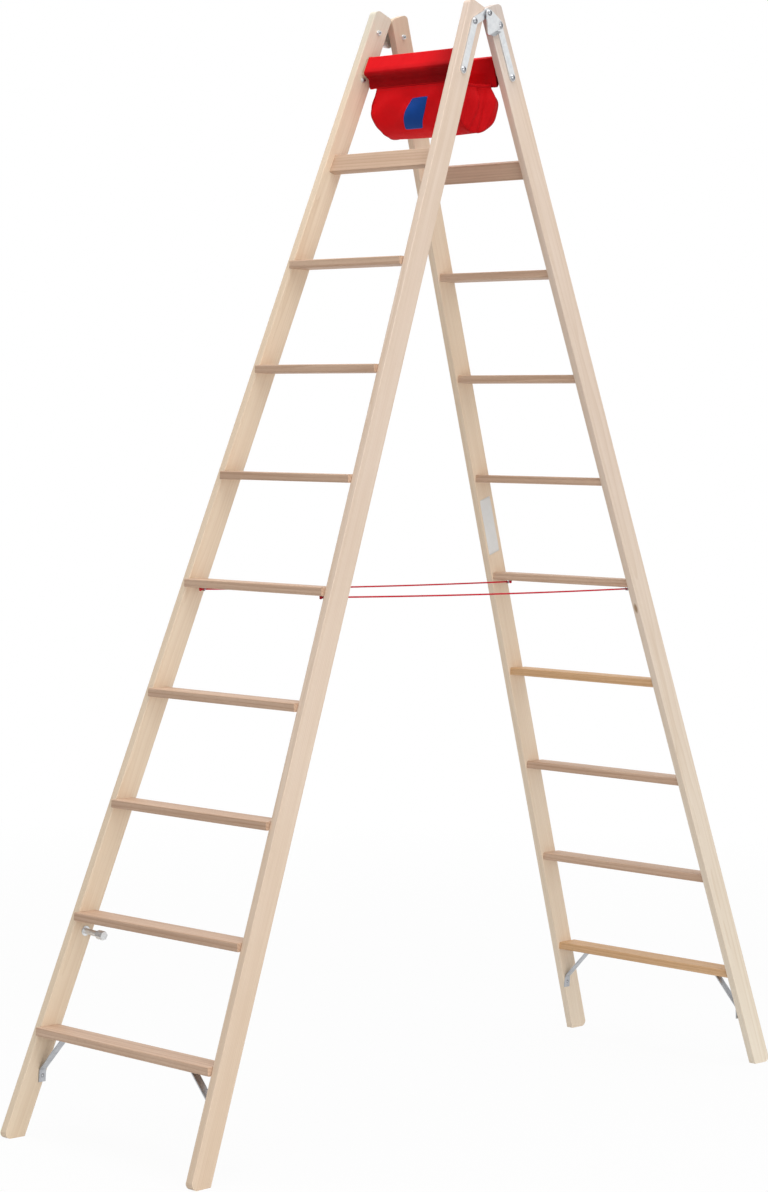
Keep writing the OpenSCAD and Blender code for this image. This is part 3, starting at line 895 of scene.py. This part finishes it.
@dataclass(frozen=True)
class SoftLamp:
    """One wide lamp, aimed at the middle of the ladder unless it has its own aim."""

    name: str
    place: Triple
    level: float
    width: float
    colour: Colour = WHITE
    aim: Triple = (0.0, 0.0, 1.3)

    def build(self) -> None:
        """Makes the lamp, with the power that gives its level on a white card that faces it."""
        way = Vector(self.aim) - Vector(self.place)
        data = bpy.data.lights.new(self.name, "AREA")
        data.shape, data.size, data.color = "DISK", self.width, self.colour
        data.energy = self.level * math.pi ** 2 * way.length_squared
        lamp = bpy.data.objects.new(self.name, data)
        turn = way.to_track_quat("-Z", "Y").to_matrix().to_4x4()
        lamp.matrix_world = Matrix.Translation(self.place) @ turn
        bpy.context.scene.collection.objects.link(lamp)


@dataclass(frozen=True)
class DarkCard:
    """A dark card beside the set, which only gloss shows, so that bright metal has dark edges."""

    name: str
    place: Triple
    half: float
    aim: Triple = (0.18, 0.0, 2.65)
    tone: Colour = (0.03, 0.03, 0.032)

    def build(self) -> None:
        """Makes the card, square to the line from its place to its aim."""
        way = Vector(self.aim) - Vector(self.place)
        turn = np.array(way.to_track_quat("Z", "Y").to_matrix())
        flat = square_grid(self.half, 5)
        card = grid_object(self.name, np.array(self.place) + flat @ turn[:, :2].T, flat)
        material, s, shader = new_material(self.name)
        s.feed(shader, {"Base Color": self.tone, "Roughness": 0.9, "Specular IOR Level": 0.0})
        card.data.materials.append(material)
        card.visible_camera = card.visible_diffuse = card.visible_transmission = card.visible_shadow = False


@dataclass(frozen=True)
class Studio:
    """Plain pale floor, white backdrop, soft lamps and dark cards."""

    sky_level: float = 0.40
    sky_tone: Colour = (0.985, 0.99, 1.0)
    floor_half: float = 60.0
    floor_paint: Span = (0.76, 0.55)
    floor_white: Span = (0.95, 1.0)
    fade: Span = (1.8, 5.5)
    lamps: tuple[SoftLamp, ...] = (
        SoftLamp("key_lamp", (6.8, -0.2, 3.2), 0.22, 7.0, (1.0, 0.985, 0.965)),
        SoftLamp("top_lamp", (0.4, -1.0, 6.2), 1.0, 6.0),
        SoftLamp("low_lamp", (5.4, -2.6, 0.9), 0.20, 3.0, aim=(0.0, 0.9, 0.5)),
    )
    cards: tuple[DarkCard, ...] = (
        DarkCard("left_card", (-5.2, -4.6, 3.4), 2.6),
        DarkCard("rear_card", (1.85, 3.6, 1.75), 0.9),
    )

    def build(self) -> None:
        """Makes the floor, the backdrop, the lamps and the dark cards."""
        bpy.context.scene.view_settings.view_transform = "Standard"
        self._backdrop()
        self._floor()
        for item in (*self.lamps, *self.cards):
            item.build()

    def _backdrop(self) -> None:
        """A world that is white where it is seen and softer where it lights."""
        world = bpy.data.worlds.new("studio")
        world.use_nodes = True
        bpy.context.scene.world = world
        world.node_tree.nodes.clear()
        s = NodeSketch(world.node_tree)
        light = s.add("Background", {"Color": self.sky_tone, "Strength": self.sky_level})
        white = s.add("Background", {"Color": WHITE, "Strength": 1.0})
        s.where_seen(s.seen_rays(), light, white, "OutputWorld")

    def _floor(self) -> None:
        """A wide pale floor that keeps the shadow near the feet and is quite white further out."""
        flat = square_grid(self.floor_half, 9)
        floor = grid_object("studio_floor", np.insert(flat, 2, 0.0, axis=-1), flat)
        material = bpy.data.materials.new("pale_floor")
        material.use_nodes = True
        material.node_tree.nodes.clear()
        s = NodeSketch(material.node_tree)
        far = s.length(s.add("TexCoord").outputs["Object"])
        paint = s.add("BsdfDiffuse", {"Color": s.ramp(far, *self.fade, *self.floor_paint)})
        glow = s.add("Emission", {"Color": WHITE, "Strength": 1.0})
        white = s.math("MULTIPLY", s.seen_rays(), s.ramp(far, *self.fade, *self.floor_white))
        s.where_seen(white, paint, glow, "OutputMaterial")
        floor.data.materials.append(material)


# The ladder's soft pieces


@dataclass(frozen=True)
class SpreadCord:
    """One taut cord under the fifth rungs, with a short tail through each staple and a knot behind it."""

    side: Side
    stance: Stance
    x: float = 0.2066
    height: float = 1.2830
    half_span: float = 0.5702
    tail: float = 0.0235
    radius: float = 0.002
    sides: int = 12
    sag: float = 0.004
    knot_half: float = 0.0046
    knot_strand: float = 0.0017
    knot_stretch: float = 1.2

    def line(self, first: float, last: float, count: int) -> Array:
        """The cord's line between two places along Y, with a sag that is a parabola between the knots.

        Args:
            first: Place of the first point.
            last: Place of the last point.
            count: Number of points.

        Returns:
            The points.
        """
        y = np.linspace(first, last, count)
        z = self.height - self.sag * (1.0 - (y / self.half_span) ** 2)
        return np.stack([np.full_like(y, self.side.value * self.x), y, z], axis=1)

    def knot(self, section: Section) -> Piece:
        """One end's knot, a small trefoil: (sin t + 2 sin 2t, -1.5 sin 3t, cos t - 2 cos 2t).

        It is stretched a little along Y, and its tube's normals are its second derivative.

        Args:
            section: The section whose staple holds the knot.

        Returns:
            The knot's object.
        """
        t = np.linspace(0.0, FULL_TURN, 121)
        thirds = self.knot_stretch * np.sin(3 * t)
        once = np.stack([np.sin(t), -1.5 * thirds, np.cos(t)], axis=1)
        twice = np.stack([2 * np.sin(2 * t), np.zeros_like(t), -2 * np.cos(2 * t)], axis=1)
        loop, bend = once + twice, -once * np.array([1.0, 9.0, 1.0]) - 4 * twice
        size = (self.knot_half - self.knot_strand) / 3.0
        centre = np.array([self.side.value * self.x, section.value * self.half_span, self.height])
        name = f"cord_knot_{section.word}_{self.side.word}"
        return loop_object(name, loop * size + centre, self.knot_strand, 10, bend)

    def build(self, finish: Material) -> None:
        """Makes the cord, its tails and its knots and dresses them.

        Args:
            finish: The braid.
        """
        reach = self.half_span - self.tail
        path = self.line(-reach, reach, 161)
        cord = tube_object(f"cord_{self.side.word}", path, self.radius, self.sides)
        for section in Section:
            run = self.line(section.value * self.half_span, section.value * reach, 9)
            tail = tube_object(f"cord_tail_{section.word}_{self.side.word}", run, self.radius, self.sides)
            for piece in (self.knot(section), tail):
                dress(piece, finish, section)
        dress(cord, finish, Section.FRONT)
        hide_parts(f"spread_cord_{self.side.word}")
        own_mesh(cord)


@dataclass(frozen=True)
class Ripple:
    """A sine wave in cloth: its height, its turns along two runs, its start and how a sign moves that."""

    height: float
    first: float
    second: float = 0.0
    start: float = 0.0
    sway: float = 0.0

    def at(self, first: Amount, second: Amount = 0.0, sign: Amount = 0.0) -> Amount:
        """How far the cloth stands out: the height times the sine of all the turns together."""
        turns = self.first * first + self.second * second + self.start + self.sway * sign
        return self.height * np.sin(turns)


@dataclass
class ToolPouch:
    """The cloth tool pouch: a sagging trough hung from two sleeves that wrap the top rails."""

    stance: Stance
    rail_drop: float = 0.140
    rail_t: float = 0.020
    rail_h: float = 0.046
    cloth_t: float = 0.0013
    rail_y: float = field(init=False)
    rail_z: float = field(init=False)

    # The body, by its half lengths, its distances out and its falls below the rails
    neck_half: float = 0.1360
    belly_half: float = 0.1510
    foot_half: float = 0.1420
    neck_out: float = 0.0745
    belly_out: float = 0.0797
    neck_fall: float = 0.0504
    belly_fall: float = 0.0958
    foot_fall: float = 0.1721
    cut_power: float = 2.11
    ebb_power: float = 3.2
    swing: float = 0.0054
    corner_r: float = 0.016
    corner_share: float = 0.6
    tuck: float = 0.004
    sag: float = 0.003
    dip: float = 0.005
    dip_reach: float = 0.03
    rows: int = 84
    long_count: int = 97
    short_count: int = 57
    profile: Array = field(init=False)

    # Its wrinkles
    gather: Ripple = Ripple(0.0014, 118.0, 1.7, sway=1.3)
    gather_wander: float = 31.0
    gather_reach: float = 0.22
    drapes: tuple[Ripple, ...] = (
        Ripple(0.0034, 49.6, 77.5, sway=1.0),
        Ripple(0.0024, 44.1, -53.9, 2.1, -1.0),
    )
    slack: Ripple = Ripple(0.0012, 23.0, 41.0, 0.6)
    end_folds: Ripple = Ripple(0.0062, 2.35 * math.pi, 0.8, 0.5 + QUARTER_TURN)
    end_creases: Ripple = Ripple(0.0025, 5.1 * math.pi, 9.0)
    end_inset: float = 0.004
    end_start: float = 0.12
    end_power: float = 0.7
    smooth_out: float = 0.03
    smooth_fall: float = 0.012

    # The sleeves
    sleeve_half: float = 0.1475
    sleeve_count: int = 113
    seam_r: float = 0.0012
    fold_r: float = 0.0008
    ease: float = 0.006
    ease_share: float = 1.4
    bow: float = 0.0045
    slack_fall: Span = (0.012, 0.034)
    slack_in: float = 0.0022
    seam_flat: float = 0.008
    hollow_fall: Span = (0.018, 0.034)
    hollow_rise: Span = (0.006, 0.016)
    hollow_turn: float = 0.4
    waves: tuple[Ripple, ...] = (Ripple(0.0016, 55.0, sway=0.7), Ripple(0.0011, 93.0, sway=2.0))
    hem_t: float = 0.0006
    hem_edge: Span = (0.0125, 0.0115)

    # What is sewn on
    patch_x: Span = (-0.0285, 0.0335)
    patch_fall: Span = (0.0843, 0.1556)
    patch_slant: float = -0.60
    patch_t: float = 0.0005
    patch_lift: float = 0.0004
    patch_crown: float = 0.0006
    patch_rim: float = 0.06
    wall_share: float = 1.12
    mouth_hem_r: float = 0.0016
    mouth_hem_share: float = 0.045
    piping_r: float = 0.0014
    piping_share: float = 0.07
    seam_way: Span = (0.6, 0.8)
    seam_reach: float = 0.35
    stitch_count: int = 68
    stitch_fall: float = 0.007
    stitch_lift: float = 0.0003
    seam_allowance: float = 0.02

    # Body and sleeves are one red cloth; the body's lighter red is painted light for its dimly lit front.
    cloth: WovenCloth = WovenCloth("pouch_cloth", (0.92, 0.009, 0.014), (0.40, 0.003, 0.005), 0.0007,
                                   sheen=0.03, shaded=(0.06, 0.13))
    # The span across the sleeve that darkens it is painted shade in its fold under the rail.
    wrap: WovenCloth = WovenCloth("sleeve_cloth", (0.84, 0.008, 0.013), (0.30, 0.002, 0.004), 0.0007,
                                  sheen=0.03, shade=0.14, painted_fold_shade=(0.132, 0.160), shaded=(0.05, 0.13))
    edge: WovenCloth = WovenCloth("pouch_edge", (0.48, 0.005, 0.009), (0.32, 0.002, 0.004), 0.0005,
                                  sheen=0.03)
    blue: WovenCloth = WovenCloth("patch_cloth", (0.012, 0.085, 0.40), (0.008, 0.04, 0.2), 0.0004,
                                  rough=0.5, sheen=0.1)
    thread: WovenCloth = WovenCloth("sewing_thread", (0.58, 0.03, 0.04), (0.3, 0.01, 0.02), 0.0003,
                                    math.radians(30.0), bump=0.6)

    def __post_init__(self) -> None:
        """Works out the rail's middle and the pouch's side profile.

        The profile is an eased step out from the neck to the belly, and below that a quarter of a rounded
        square, with cosine and sine to a power.
        """
        middle = self.stance.place(Section.FRONT, 0.0, self.rail_drop, self.stance.mid_depth)
        self.rail_y, self.rail_z = -float(middle[1]), float(middle[2])
        rise, depth = self.belly_fall - self.neck_fall, self.foot_fall - self.belly_fall
        upper = np.linspace(-self.tuck, rise, 40)
        out = self.neck_out + (self.belly_out - self.neck_out) * smooth_step(upper, 0.0, rise)
        wall = np.stack([out, self.neck_fall + upper], axis=1)
        turn = np.linspace(0.0, QUARTER_TURN, 60)[1:]
        power = 2.0 / self.cut_power
        low = np.stack([self.belly_out * np.maximum(np.cos(turn), 0.0) ** power,
                        self.belly_fall + depth * np.sin(turn) ** power], axis=1)
        self.profile = respaced(np.concatenate([wall, low]), self.rows)
        self.profile[-1, 0] = 0.0

    def half_length(self, fall: Array) -> Array:
        """Half the pouch's length at a fall below the rails: narrow at the neck, full at the belly.

        It grows by an eased step down to the belly, and below that it draws in along a quarter curve.

        Args:
            fall: Distances below the rails' middle.

        Returns:
            Half the length at each of them.
        """
        swell = smooth_step(fall, self.neck_fall, self.belly_fall)
        share = np.clip((fall - self.belly_fall) / (self.foot_fall - self.belly_fall), 0.0, 1.0)
        ebb = 1.0 - np.sqrt(np.maximum(1.0 - share ** self.ebb_power, 0.0))
        grown = self.neck_half + (self.belly_half - self.neck_half) * swell
        return grown - (self.belly_half - self.foot_half) * ebb

    def ring(self) -> list[Array]:
        """One turn round a rectangle with round corners, seen from above.

        Returns:
            Shares of the half length and half width, and the outward direction in X and Y, for each point.
        """
        long_run = np.linspace(-1.0, 1.0, self.long_count)
        short_run = np.linspace(-1.0, 1.0, self.short_count)
        arc = np.linspace(0.0, QUARTER_TURN, 9)[1:-1]
        runs = ((long_run, -1.0, 0.0, -1.0), (1.0, short_run, 1.0, 0.0),
                (-long_run, 1.0, 0.0, 1.0), (-1.0, -short_run, -1.0, 0.0))
        stretches = []
        for number, run in enumerate(runs):
            side = np.stack(np.broadcast_arrays(*run))
            turn = (number - 1) * QUARTER_TURN + arc
            corner = np.broadcast_arrays(*side[:2, -1], np.cos(turn), np.sin(turn))
            stretches.extend([side, np.stack(corner)])
        turn_round = np.concatenate(stretches, axis=1)
        return list(np.append(turn_round, turn_round[:, :1], axis=1))

    def wrinkles(self, x: Array, y: Array, fall: Array, end: Array) -> Array:
        """How far the cloth stands out from its smooth form.

        Gathers are a sine along the pouch that dies out below the neck, drapes are sines along two slants,
        and each end has three upright folds that are deepest at mid height.

        Args:
            x: Place along the pouch.
            y: Place across the pouch.
            fall: Distance below the rails' middle.
            end: Share of 0 on the long walls and 1 on the ends.

        Returns:
            The distance outwards in metres.
        """
        depth = (fall - self.neck_fall) / (self.foot_fall - self.neck_fall)
        rear, share = np.sign(y), y / self.belly_out
        gather = self.gather.at(x, np.sin(self.gather_wander * x), rear)
        gather *= np.exp(-np.maximum(depth, 0.0) / self.gather_reach)
        drape = sum(ripple.at(x, fall, rear) for ripple in self.drapes)
        drape *= np.sin(math.pi * np.clip(depth, 0.0, 1.0))
        slack = self.slack.at(x, fall) * np.clip(depth * 2.0, 0.0, 1.0)
        mid_height = np.sin(math.pi * np.clip(depth + self.end_start, 0.0, 1.0)) ** self.end_power
        folds = self.end_folds.at(share, depth) * mid_height
        folds += self.end_creases.at(share, depth) - self.end_inset
        return (1.0 - end) * (gather + drape + slack) + end * folds

    def body_points(self) -> tuple[Array, Array]:
        """The pouch's cloth as rings carried down its side profile, which end in a line along the bottom.

        Returns:
            The grid of points and its UV places.
        """
        sx, sy, nx, ny = (part[None, :] for part in self.ring())
        out, fall = self.profile[:, :1], self.profile[:, 1:]
        corner = np.minimum(self.corner_r, self.corner_share * out)
        x = sx * (self.half_length(fall) - corner) + nx * corner
        y = sy * (out - corner) + ny * corner
        end = nx ** 2
        drop = np.broadcast_to(fall, x.shape)
        fade = smooth_step(drop, self.neck_fall - self.tuck, self.neck_fall + self.smooth_fall)
        proud = self.wrinkles(x, y, drop, end) * fade * smooth_step(out, 0.0, self.smooth_out)
        sag = self.sag * (1.0 - (x / self.belly_half) ** 2)
        sag = sag * smooth_step(drop, self.belly_fall, self.foot_fall)
        under = np.maximum(drop - self.neck_fall, 0.0)
        dip = self.dip * np.exp(-under / self.dip_reach) * end * (1.0 - sy ** 2)
        aside = self.swing * smooth_step(drop, self.neck_fall, self.belly_fall)
        points = np.stack([x + nx * proud, y + ny * proud + aside, self.rail_z - drop - sag - dip], axis=-1)
        return points, pairs(run_along(points[self.rows // 3]), run_along(self.profile))

    def sleeve_profile(self) -> Array:
        """The sleeve's cut: a band round three of the rail's corners that runs down to the neck's seam.

        Returns:
            Places out and up from the rail's middle, closed.
        """
        lean = self.stance.lean
        outward = np.array([math.cos(lean), math.sin(lean)])
        downward = np.array([math.sin(lean), -math.cos(lean)])
        t, h = self.rail_t / 2, self.rail_h / 2
        seam = np.array([self.neck_out - self.rail_y, -self.neck_fall])
        corners = np.array([seam, -t * outward - h * downward, t * outward - h * downward,
                            (t - self.ease) * outward + (h - self.ease) * downward])
        eased = self.ease_share * self.ease + self.seam_r
        radii = self.cloth_t + np.array([self.seam_r, self.fold_r, self.fold_r, eased])
        ahead = unit(np.roll(corners, -1, axis=0) - corners)
        angle_out = np.arctan2(ahead[:, 0], -ahead[:, 1])
        angle_in = np.roll(angle_out, 1)
        sweep = np.mod(angle_in - angle_out, FULL_TURN)
        arc = angle_in[:, None] - sweep[:, None] * np.linspace(0.0, 1.0, 14)
        band = corners[:, None] + radii[:, None, None] * np.stack([np.cos(arc), np.sin(arc)], axis=-1)
        band = band.reshape(-1, 2)
        return respaced(np.concatenate([band, band[:1]]), self.sleeve_count)

    def sleeve(self, section: Section) -> Piece:
        """One sleeve, its cut carried along the rail with soft waves on its slack lower run.

        Args:
            section: The section whose rail it wraps.

        Returns:
            The sleeve's object.
        """
        cut = self.sleeve_profile()
        along = unit(np.roll(cut[:-1], -1, axis=0) - np.roll(cut[:-1], 1, axis=0))
        along = np.concatenate([along, along[:1]])
        normal = np.stack([-along[:, 1], along[:, 0]], axis=1)
        fall, rise = -cut[:, 1], cut[:, 1] + self.neck_fall
        x = np.linspace(-self.sleeve_half, self.sleeve_half, 121)[:, None]
        low = smooth_step(fall, *self.slack_fall) * smooth_step(rise, 0.0, self.seam_flat)
        wave = sum(ripple.at(x, sign=section.value) for ripple in self.waves)
        hem = self.hem_t * smooth_step(np.abs(x), *(self.sleeve_half - edge for edge in self.hem_edge))
        hollow = smooth_step(fall, *self.hollow_fall) * smooth_step(rise, *self.hollow_rise)
        hollow = self.bow * hollow * smooth_step(normal[:, 0], 0.0, self.hollow_turn)
        proud = (wave - self.slack_in) * low - hollow + hem
        flat = cut + normal * proud[..., None]
        y = section.value * (self.rail_y + flat[..., 0])
        points = np.stack([np.broadcast_to(x, y.shape), y, self.rail_z + flat[..., 1]], axis=-1)
        return grid_object(f"pouch_{section.word}_sleeve", points, pairs(run_along(cut), x),
                           flip=section is Section.REAR)

    def seam_line(self, points: Array, side: Side) -> Array:
        """The line of an end's seam: down the front corner, along under the end, and up the rear corner.

        Each corner's column is the one whose outward direction is nearest to the seam's way.

        Args:
            points: The body's grid.
            side: Which end.

        Returns:
            The seam's points, on the cloth.
        """
        _, sy, nx, ny = self.ring()
        endward = nx * side.value
        along, across = self.seam_way
        score = endward * along + np.abs(ny) * across
        score[np.abs(endward - along) > self.seam_reach] = -1.0
        front, rear = (int(np.argmax(np.where(sy * section.value > 0, score, -1.0))) for section in Section)
        skip = int(self.rows * self.piping_share)
        line = np.concatenate([points[skip:-1, front], points[-2:skip - 1:-1, rear]])
        return respaced(line, 150)

    def patch(self, points: Array) -> Piece:
        """The blank patch: a rounded rectangle laid on the front wall, between the points of its grid.

        Args:
            points: The body's grid.

        Returns:
            The patch's object.
        """
        count = 33
        px, pb = rounded_square(count, 8, (0.06, 0.06))
        down = pb * np.ptp(self.patch_fall) / 2
        fall = np.mean(self.patch_fall) + down
        x = np.mean(self.patch_x) + px * np.ptp(self.patch_x) / 2 + self.patch_slant * down
        wall = points[:, :self.long_count]
        row = np.interp(fall, self.profile[:, 1], np.arange(self.rows))
        column = (x / self.half_length(fall) * self.wall_share + 1.0) * (self.long_count - 1) / 2
        low = np.clip(row.astype(int), 0, self.rows - 2)
        left = np.clip(column.astype(int), 0, self.long_count - 2)
        r, c = (row - low)[..., None], (column - left)[..., None]
        over = ((1 - r) * ((1 - c) * wall[low, left] + c * wall[low, left + 1])
                + r * ((1 - c) * wall[low + 1, left] + c * wall[low + 1, left + 1]))
        normal = unit(np.cross(np.gradient(over, axis=0), np.gradient(over, axis=1)))
        normal *= np.where(normal[..., 1:2] > 0, -1.0, 1.0)
        inward = 1.0 - np.abs(square_grid(1.0, count)).max(axis=-1, keepdims=True)
        lift = self.patch_lift + self.patch_crown * smooth_step(inward, 0.0, self.patch_rim)
        lifted = over + normal * lift
        return grid_object("pouch_patch", lifted, np.stack([x, -fall], axis=-1), flip=True)

    def stitches(self, points: Array) -> Piece:
        """Rows of sewing thread: short rounded bars along the neck seams.

        Args:
            points: The body's grid.

        Returns:
            One object with all the stitches.
        """
        row = int(np.searchsorted(self.profile[:, 1], self.neck_fall + self.stitch_fall))
        front = respaced(points[row, :self.long_count], self.stitch_count)
        middles = np.concatenate([front, front * np.array([1.0, -1.0, 1.0])])
        outward = np.repeat([[0.0, -1.0, 0.0], [0.0, 1.0, 0.0]], self.stitch_count, axis=0)
        return stitch_object("pouch_stitches", middles + self.stitch_lift * outward, ALONG_RUNGS, outward)

    def build(self, patterns: SharedPatterns) -> None:
        """Makes the pouch and dresses it.

        Args:
            patterns: The shared node groups.
        """
        cloth, wrap, edge, blue, thread = (
            finish.build(patterns) for finish in (self.cloth, self.wrap, self.edge, self.blue, self.thread))
        points, uv = self.body_points()
        body = grid_object("pouch_body", points, uv, flip=True)
        thicken(body, self.cloth_t)
        mouth = points[int(self.rows * self.mouth_hem_share)]
        rim = loop_object("pouch_mouth_hem", mouth, self.mouth_hem_r, 8, UPWARD)
        seams = [tube_object(f"pouch_piping_{side.word}", self.seam_line(points, side), self.piping_r, 8)
                 for side in Side]
        patch = self.patch(points)
        thicken(patch, self.patch_t)
        sewing = self.stitches(points)
        swinging = {body: cloth, rim: edge, patch: blue, sewing: thread, **{seam: edge for seam in seams}}
        for piece, finish in swinging.items():
            dress(piece, finish, Section.FRONT)
            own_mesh(piece)
        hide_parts("tool_pouch")
        for section in Section:
            sleeve = self.sleeve(section)
            thicken(sleeve, self.cloth_t)
            dress(sleeve, wrap, section)


def stitch_object(name: str, middles: Array, along: Triple, outward: Array, half: float = 0.0013,
                  radius: float = 0.00038) -> Piece:
    """Many short bars of thread with round ends, one at each middle.

    Each bar is a circle of six sides carried along five places, whose radius closes to nothing at both ends.

    Args:
        name: Name of the new piece.
        middles: The middle of each bar.
        along: The bars' direction.
        outward: The direction away from the cloth at each bar.
        half: Half the bar's length.
        radius: The thread's radius.

    Returns:
        The new object.
    """
    place = half * np.array([-1.0, -0.85, 0.0, 0.85, 1.0])
    size = radius * np.array([0.0, 0.8, 1.0, 0.8, 0.0])
    angle = np.linspace(0.0, FULL_TURN, 7)
    across = np.cross(outward, along)
    ring = np.cos(angle)[:, None] * across[:, None, None] + np.sin(angle)[:, None] * outward[:, None, None]
    bars = middles[:, None, None] + place[:, None, None] * np.array(along) + size[:, None, None] * ring
    count, rows, columns, _ = bars.shape
    quads = grid_quads(rows, columns) + rows * columns * np.arange(count)[:, None, None]
    uv = np.broadcast_to(pairs(angle * radius, place), (count, rows, columns, 2))
    return mesh_object(name, bars, quads.reshape(-1, 4), uv)


@dataclass(frozen=True)
class PaperPatch:
    """The blank paper patch on the left rear stile's inner face."""

    stance: Stance
    drops: Span = (1.298, 1.455)
    depths: Span = (0.010, 0.052)
    lift: float = 0.00022
    paper_t: float = 0.00018
    paper: CoatedPaper = CoatedPaper("patch_paper")

    def build(self, patterns: SharedPatterns) -> None:
        """Makes the patch, a rectangle with rounded corners on the stile's splayed face, and dresses it.

        Args:
            patterns: The shared node groups.
        """
        a, b = rounded_square(25, 12, (0.1, 0.02))
        depth = np.mean(self.depths) + a * np.ptp(self.depths) / 2
        drop = np.mean(self.drops) + b * np.ptp(self.drops) / 2
        x = -self.stance.bay_half(drop) + self.lift
        points = self.stance.place(Section.REAR, x, drop, depth)
        piece = grid_object("stile_patch", points, np.stack([depth, drop], axis=-1), flip=True)
        thicken(piece, self.paper_t)
        dress(piece, self.paper.build(patterns), Section.REAR)


# The ladder's solids


@dataclass(frozen=True)
class StileCut:
    """One stile's cut of pale softwood: where its pith lies, and foot and head tints, partly tone, partly
    painted shade.
    """

    section: Section
    side: Side
    pith: Triple
    foot: Colour
    head: Colour
    knots: tuple[Triple, ...] = ()


@dataclass(frozen=True)
class LadderFrame:
    """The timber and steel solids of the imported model, and their finishes."""

    nodes: dict[str, Piece]
    stance: Stance
    patterns: SharedPatterns
    left_softwood: tuple[Colour, Colour] = ((0.89, 0.745, 0.585), (0.75, 0.58, 0.42))
    right_softwood: tuple[Colour, Colour] = ((0.815, 0.68, 0.575), (0.675, 0.52, 0.395))
    # Foot and head tints: partly each stile's tone, partly painted light and shade; lighter rear feet,
    # darker heads.
    stiles: tuple[StileCut, ...] = (
        StileCut(Section.FRONT, Side.LEFT, (0.064, 0.021, 0.0), (0.97, 0.97, 0.95), (0.87, 0.99, 1.08)),
        StileCut(Section.FRONT, Side.RIGHT, (0.028, -0.074, 0.0), (0.97, 0.94, 0.87), (0.94, 0.94, 0.97)),
        StileCut(Section.REAR, Side.LEFT, (-0.052, 0.058, 0.0), (1.08, 1.13, 1.18), (0.85, 0.83, 0.82)),
        StileCut(Section.REAR, Side.RIGHT, (0.083, -0.012, 0.0), (1.15, 1.25, 1.25), (0.83, 0.88, 0.97),
                 knots=((0.0, -0.031, 1.582),)),
    )
    beech: tuple[Colour, Colour] = ((0.70, 0.505, 0.37), (0.48, 0.30, 0.20))
    straw: tuple[Colour, Colour] = ((0.785, 0.52, 0.30), (0.56, 0.32, 0.15))
    straw_rungs: tuple[str, ...] = ("rear_rung_1", "rear_rung_4")
    strap: ZincSteel = ZincSteel("strap_zinc")
    # The bolts' darker zinc is painted reflection of dark surroundings on their domes and painted shade in
    # their sockets.
    bolt: ZincSteel = ZincSteel("bolt_zinc", (0.42, 0.43, 0.45), (0.20, 0.205, 0.215), (0.16, 0.3))
    strut: ZincSteel = ZincSteel("strut_zinc", (0.50, 0.51, 0.53), (0.33, 0.34, 0.36))
    catch: ZincSteel = ZincSteel("catch_zinc", (0.86, 0.88, 0.89), (0.64, 0.66, 0.68), (0.3, 0.5), 0.5)
    strap_ends: tuple[str, ...] = ("strap_right", "strap_left", "leaf_right", "leaf_left", "_nuts", "washer")
    bolt_ends: tuple[str, ...] = ("_bolts", "_screws", "_staples", "stud", "pin_right", "pin_left")
    strut_ends: tuple[str, ...] = ("strut_right", "strut_left")

    def dress(self) -> None:
        """Gives every timber and steel solid its finish."""
        self._stiles()
        self._crosswise()
        self._steel()

    def _put(self, name: str, finish: Material) -> None:
        """Gives one solid a finish.

        Args:
            name: The solid's node.
            finish: Its finish.
        """
        mesh = self.nodes[name].data
        mesh.materials.clear()
        mesh.materials.append(finish)
        LOG.info("%s: %s", name, finish.name)

    def _stiles(self) -> None:
        """Each stile has its own cut of pale softwood, with the length along the stile."""
        for cut in self.stiles:
            middle_x = cut.side.value * (self.stance.half_top - self.stance.stile_t / 2)
            middle = self.stance.place(cut.section, middle_x, 0.0, self.stance.mid_depth)
            pale, late = self.left_softwood if cut.side is Side.LEFT else self.right_softwood
            name = f"{cut.section.word}_stile_{cut.side.word}"
            wood = Timber(f"{name}_wood", pale, late, self.stance.stile_turn(cut.section, cut.side),
                          tuple(middle.tolist()), cut.pith, foot=cut.foot, head=cut.head, knots=cut.knots)
            self._put(name, wood.build(self.patterns))

    def _crosswise(self) -> None:
        """Rungs and rails have their length along X."""
        turn = Matrix(((0.0, 1.0, 0.0), (0.0, 0.0, 1.0), (1.0, 0.0, 0.0)))
        rung = Timber("rung_beech", *self.beech, turn, pith=(0.0, 2.0, 0.0), ring_width=0.0075, contrast=1.5,
                      flecks=0.3, gloss=0.35)
        pale, late = self.straw
        odd = replace(rung, name="rung_straw", pale=pale, late=late)
        rail = replace(rung, name="rail_beech", pith=(0.2, 2.8, 0.0), contrast=1.1, flecks=0.15)
        beech, straw, flat = (wood.build(self.patterns) for wood in (rung, odd, rail))
        for name in self.nodes:
            if "_rung_" in name:
                self._put(name, straw if name in self.straw_rungs else beech)
            elif name.endswith("_rail"):
                self._put(name, flat)

    def _steel(self) -> None:
        """Straps, leaves, struts and fasteners are zinc plated, chosen by the ends of their names."""
        plated = ((self.strap, self.strap_ends), (self.bolt, self.bolt_ends), (self.strut, self.strut_ends),
                  (self.catch, ("catch_bolt",)))
        for zinc, ends in plated:
            finish = zinc.build(self.patterns)
            for name in self.nodes:
                if name.endswith(ends):
                    self._put(name, finish)


def main() -> None:
    """Builds the camera, the cords, the studio, the finishes and the soft pieces, in that order."""
    logging.basicConfig(level=logging.INFO, format="%(name)s: %(message)s")
    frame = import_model()
    stance = Stance(pivot_h=frame["joints"][0]["pos_m"][2])
    PhotoCamera().build()
    patterns = SharedPatterns()
    braid = WovenCloth("cord_braid", (0.80, 0.03, 0.05), (0.36, 0.008, 0.018), 0.0011,
                       math.radians(45.0), bump=0.8, shade=0.5).build(patterns)
    for side in Side:
        SpreadCord(side, stance).build(braid)
    Studio().build()
    LadderFrame(frame["nodes"], stance, patterns).dress()
    ToolPouch(stance).build(patterns)
    PaperPatch(stance).build(patterns)


if __name__ == "__main__":
    main()
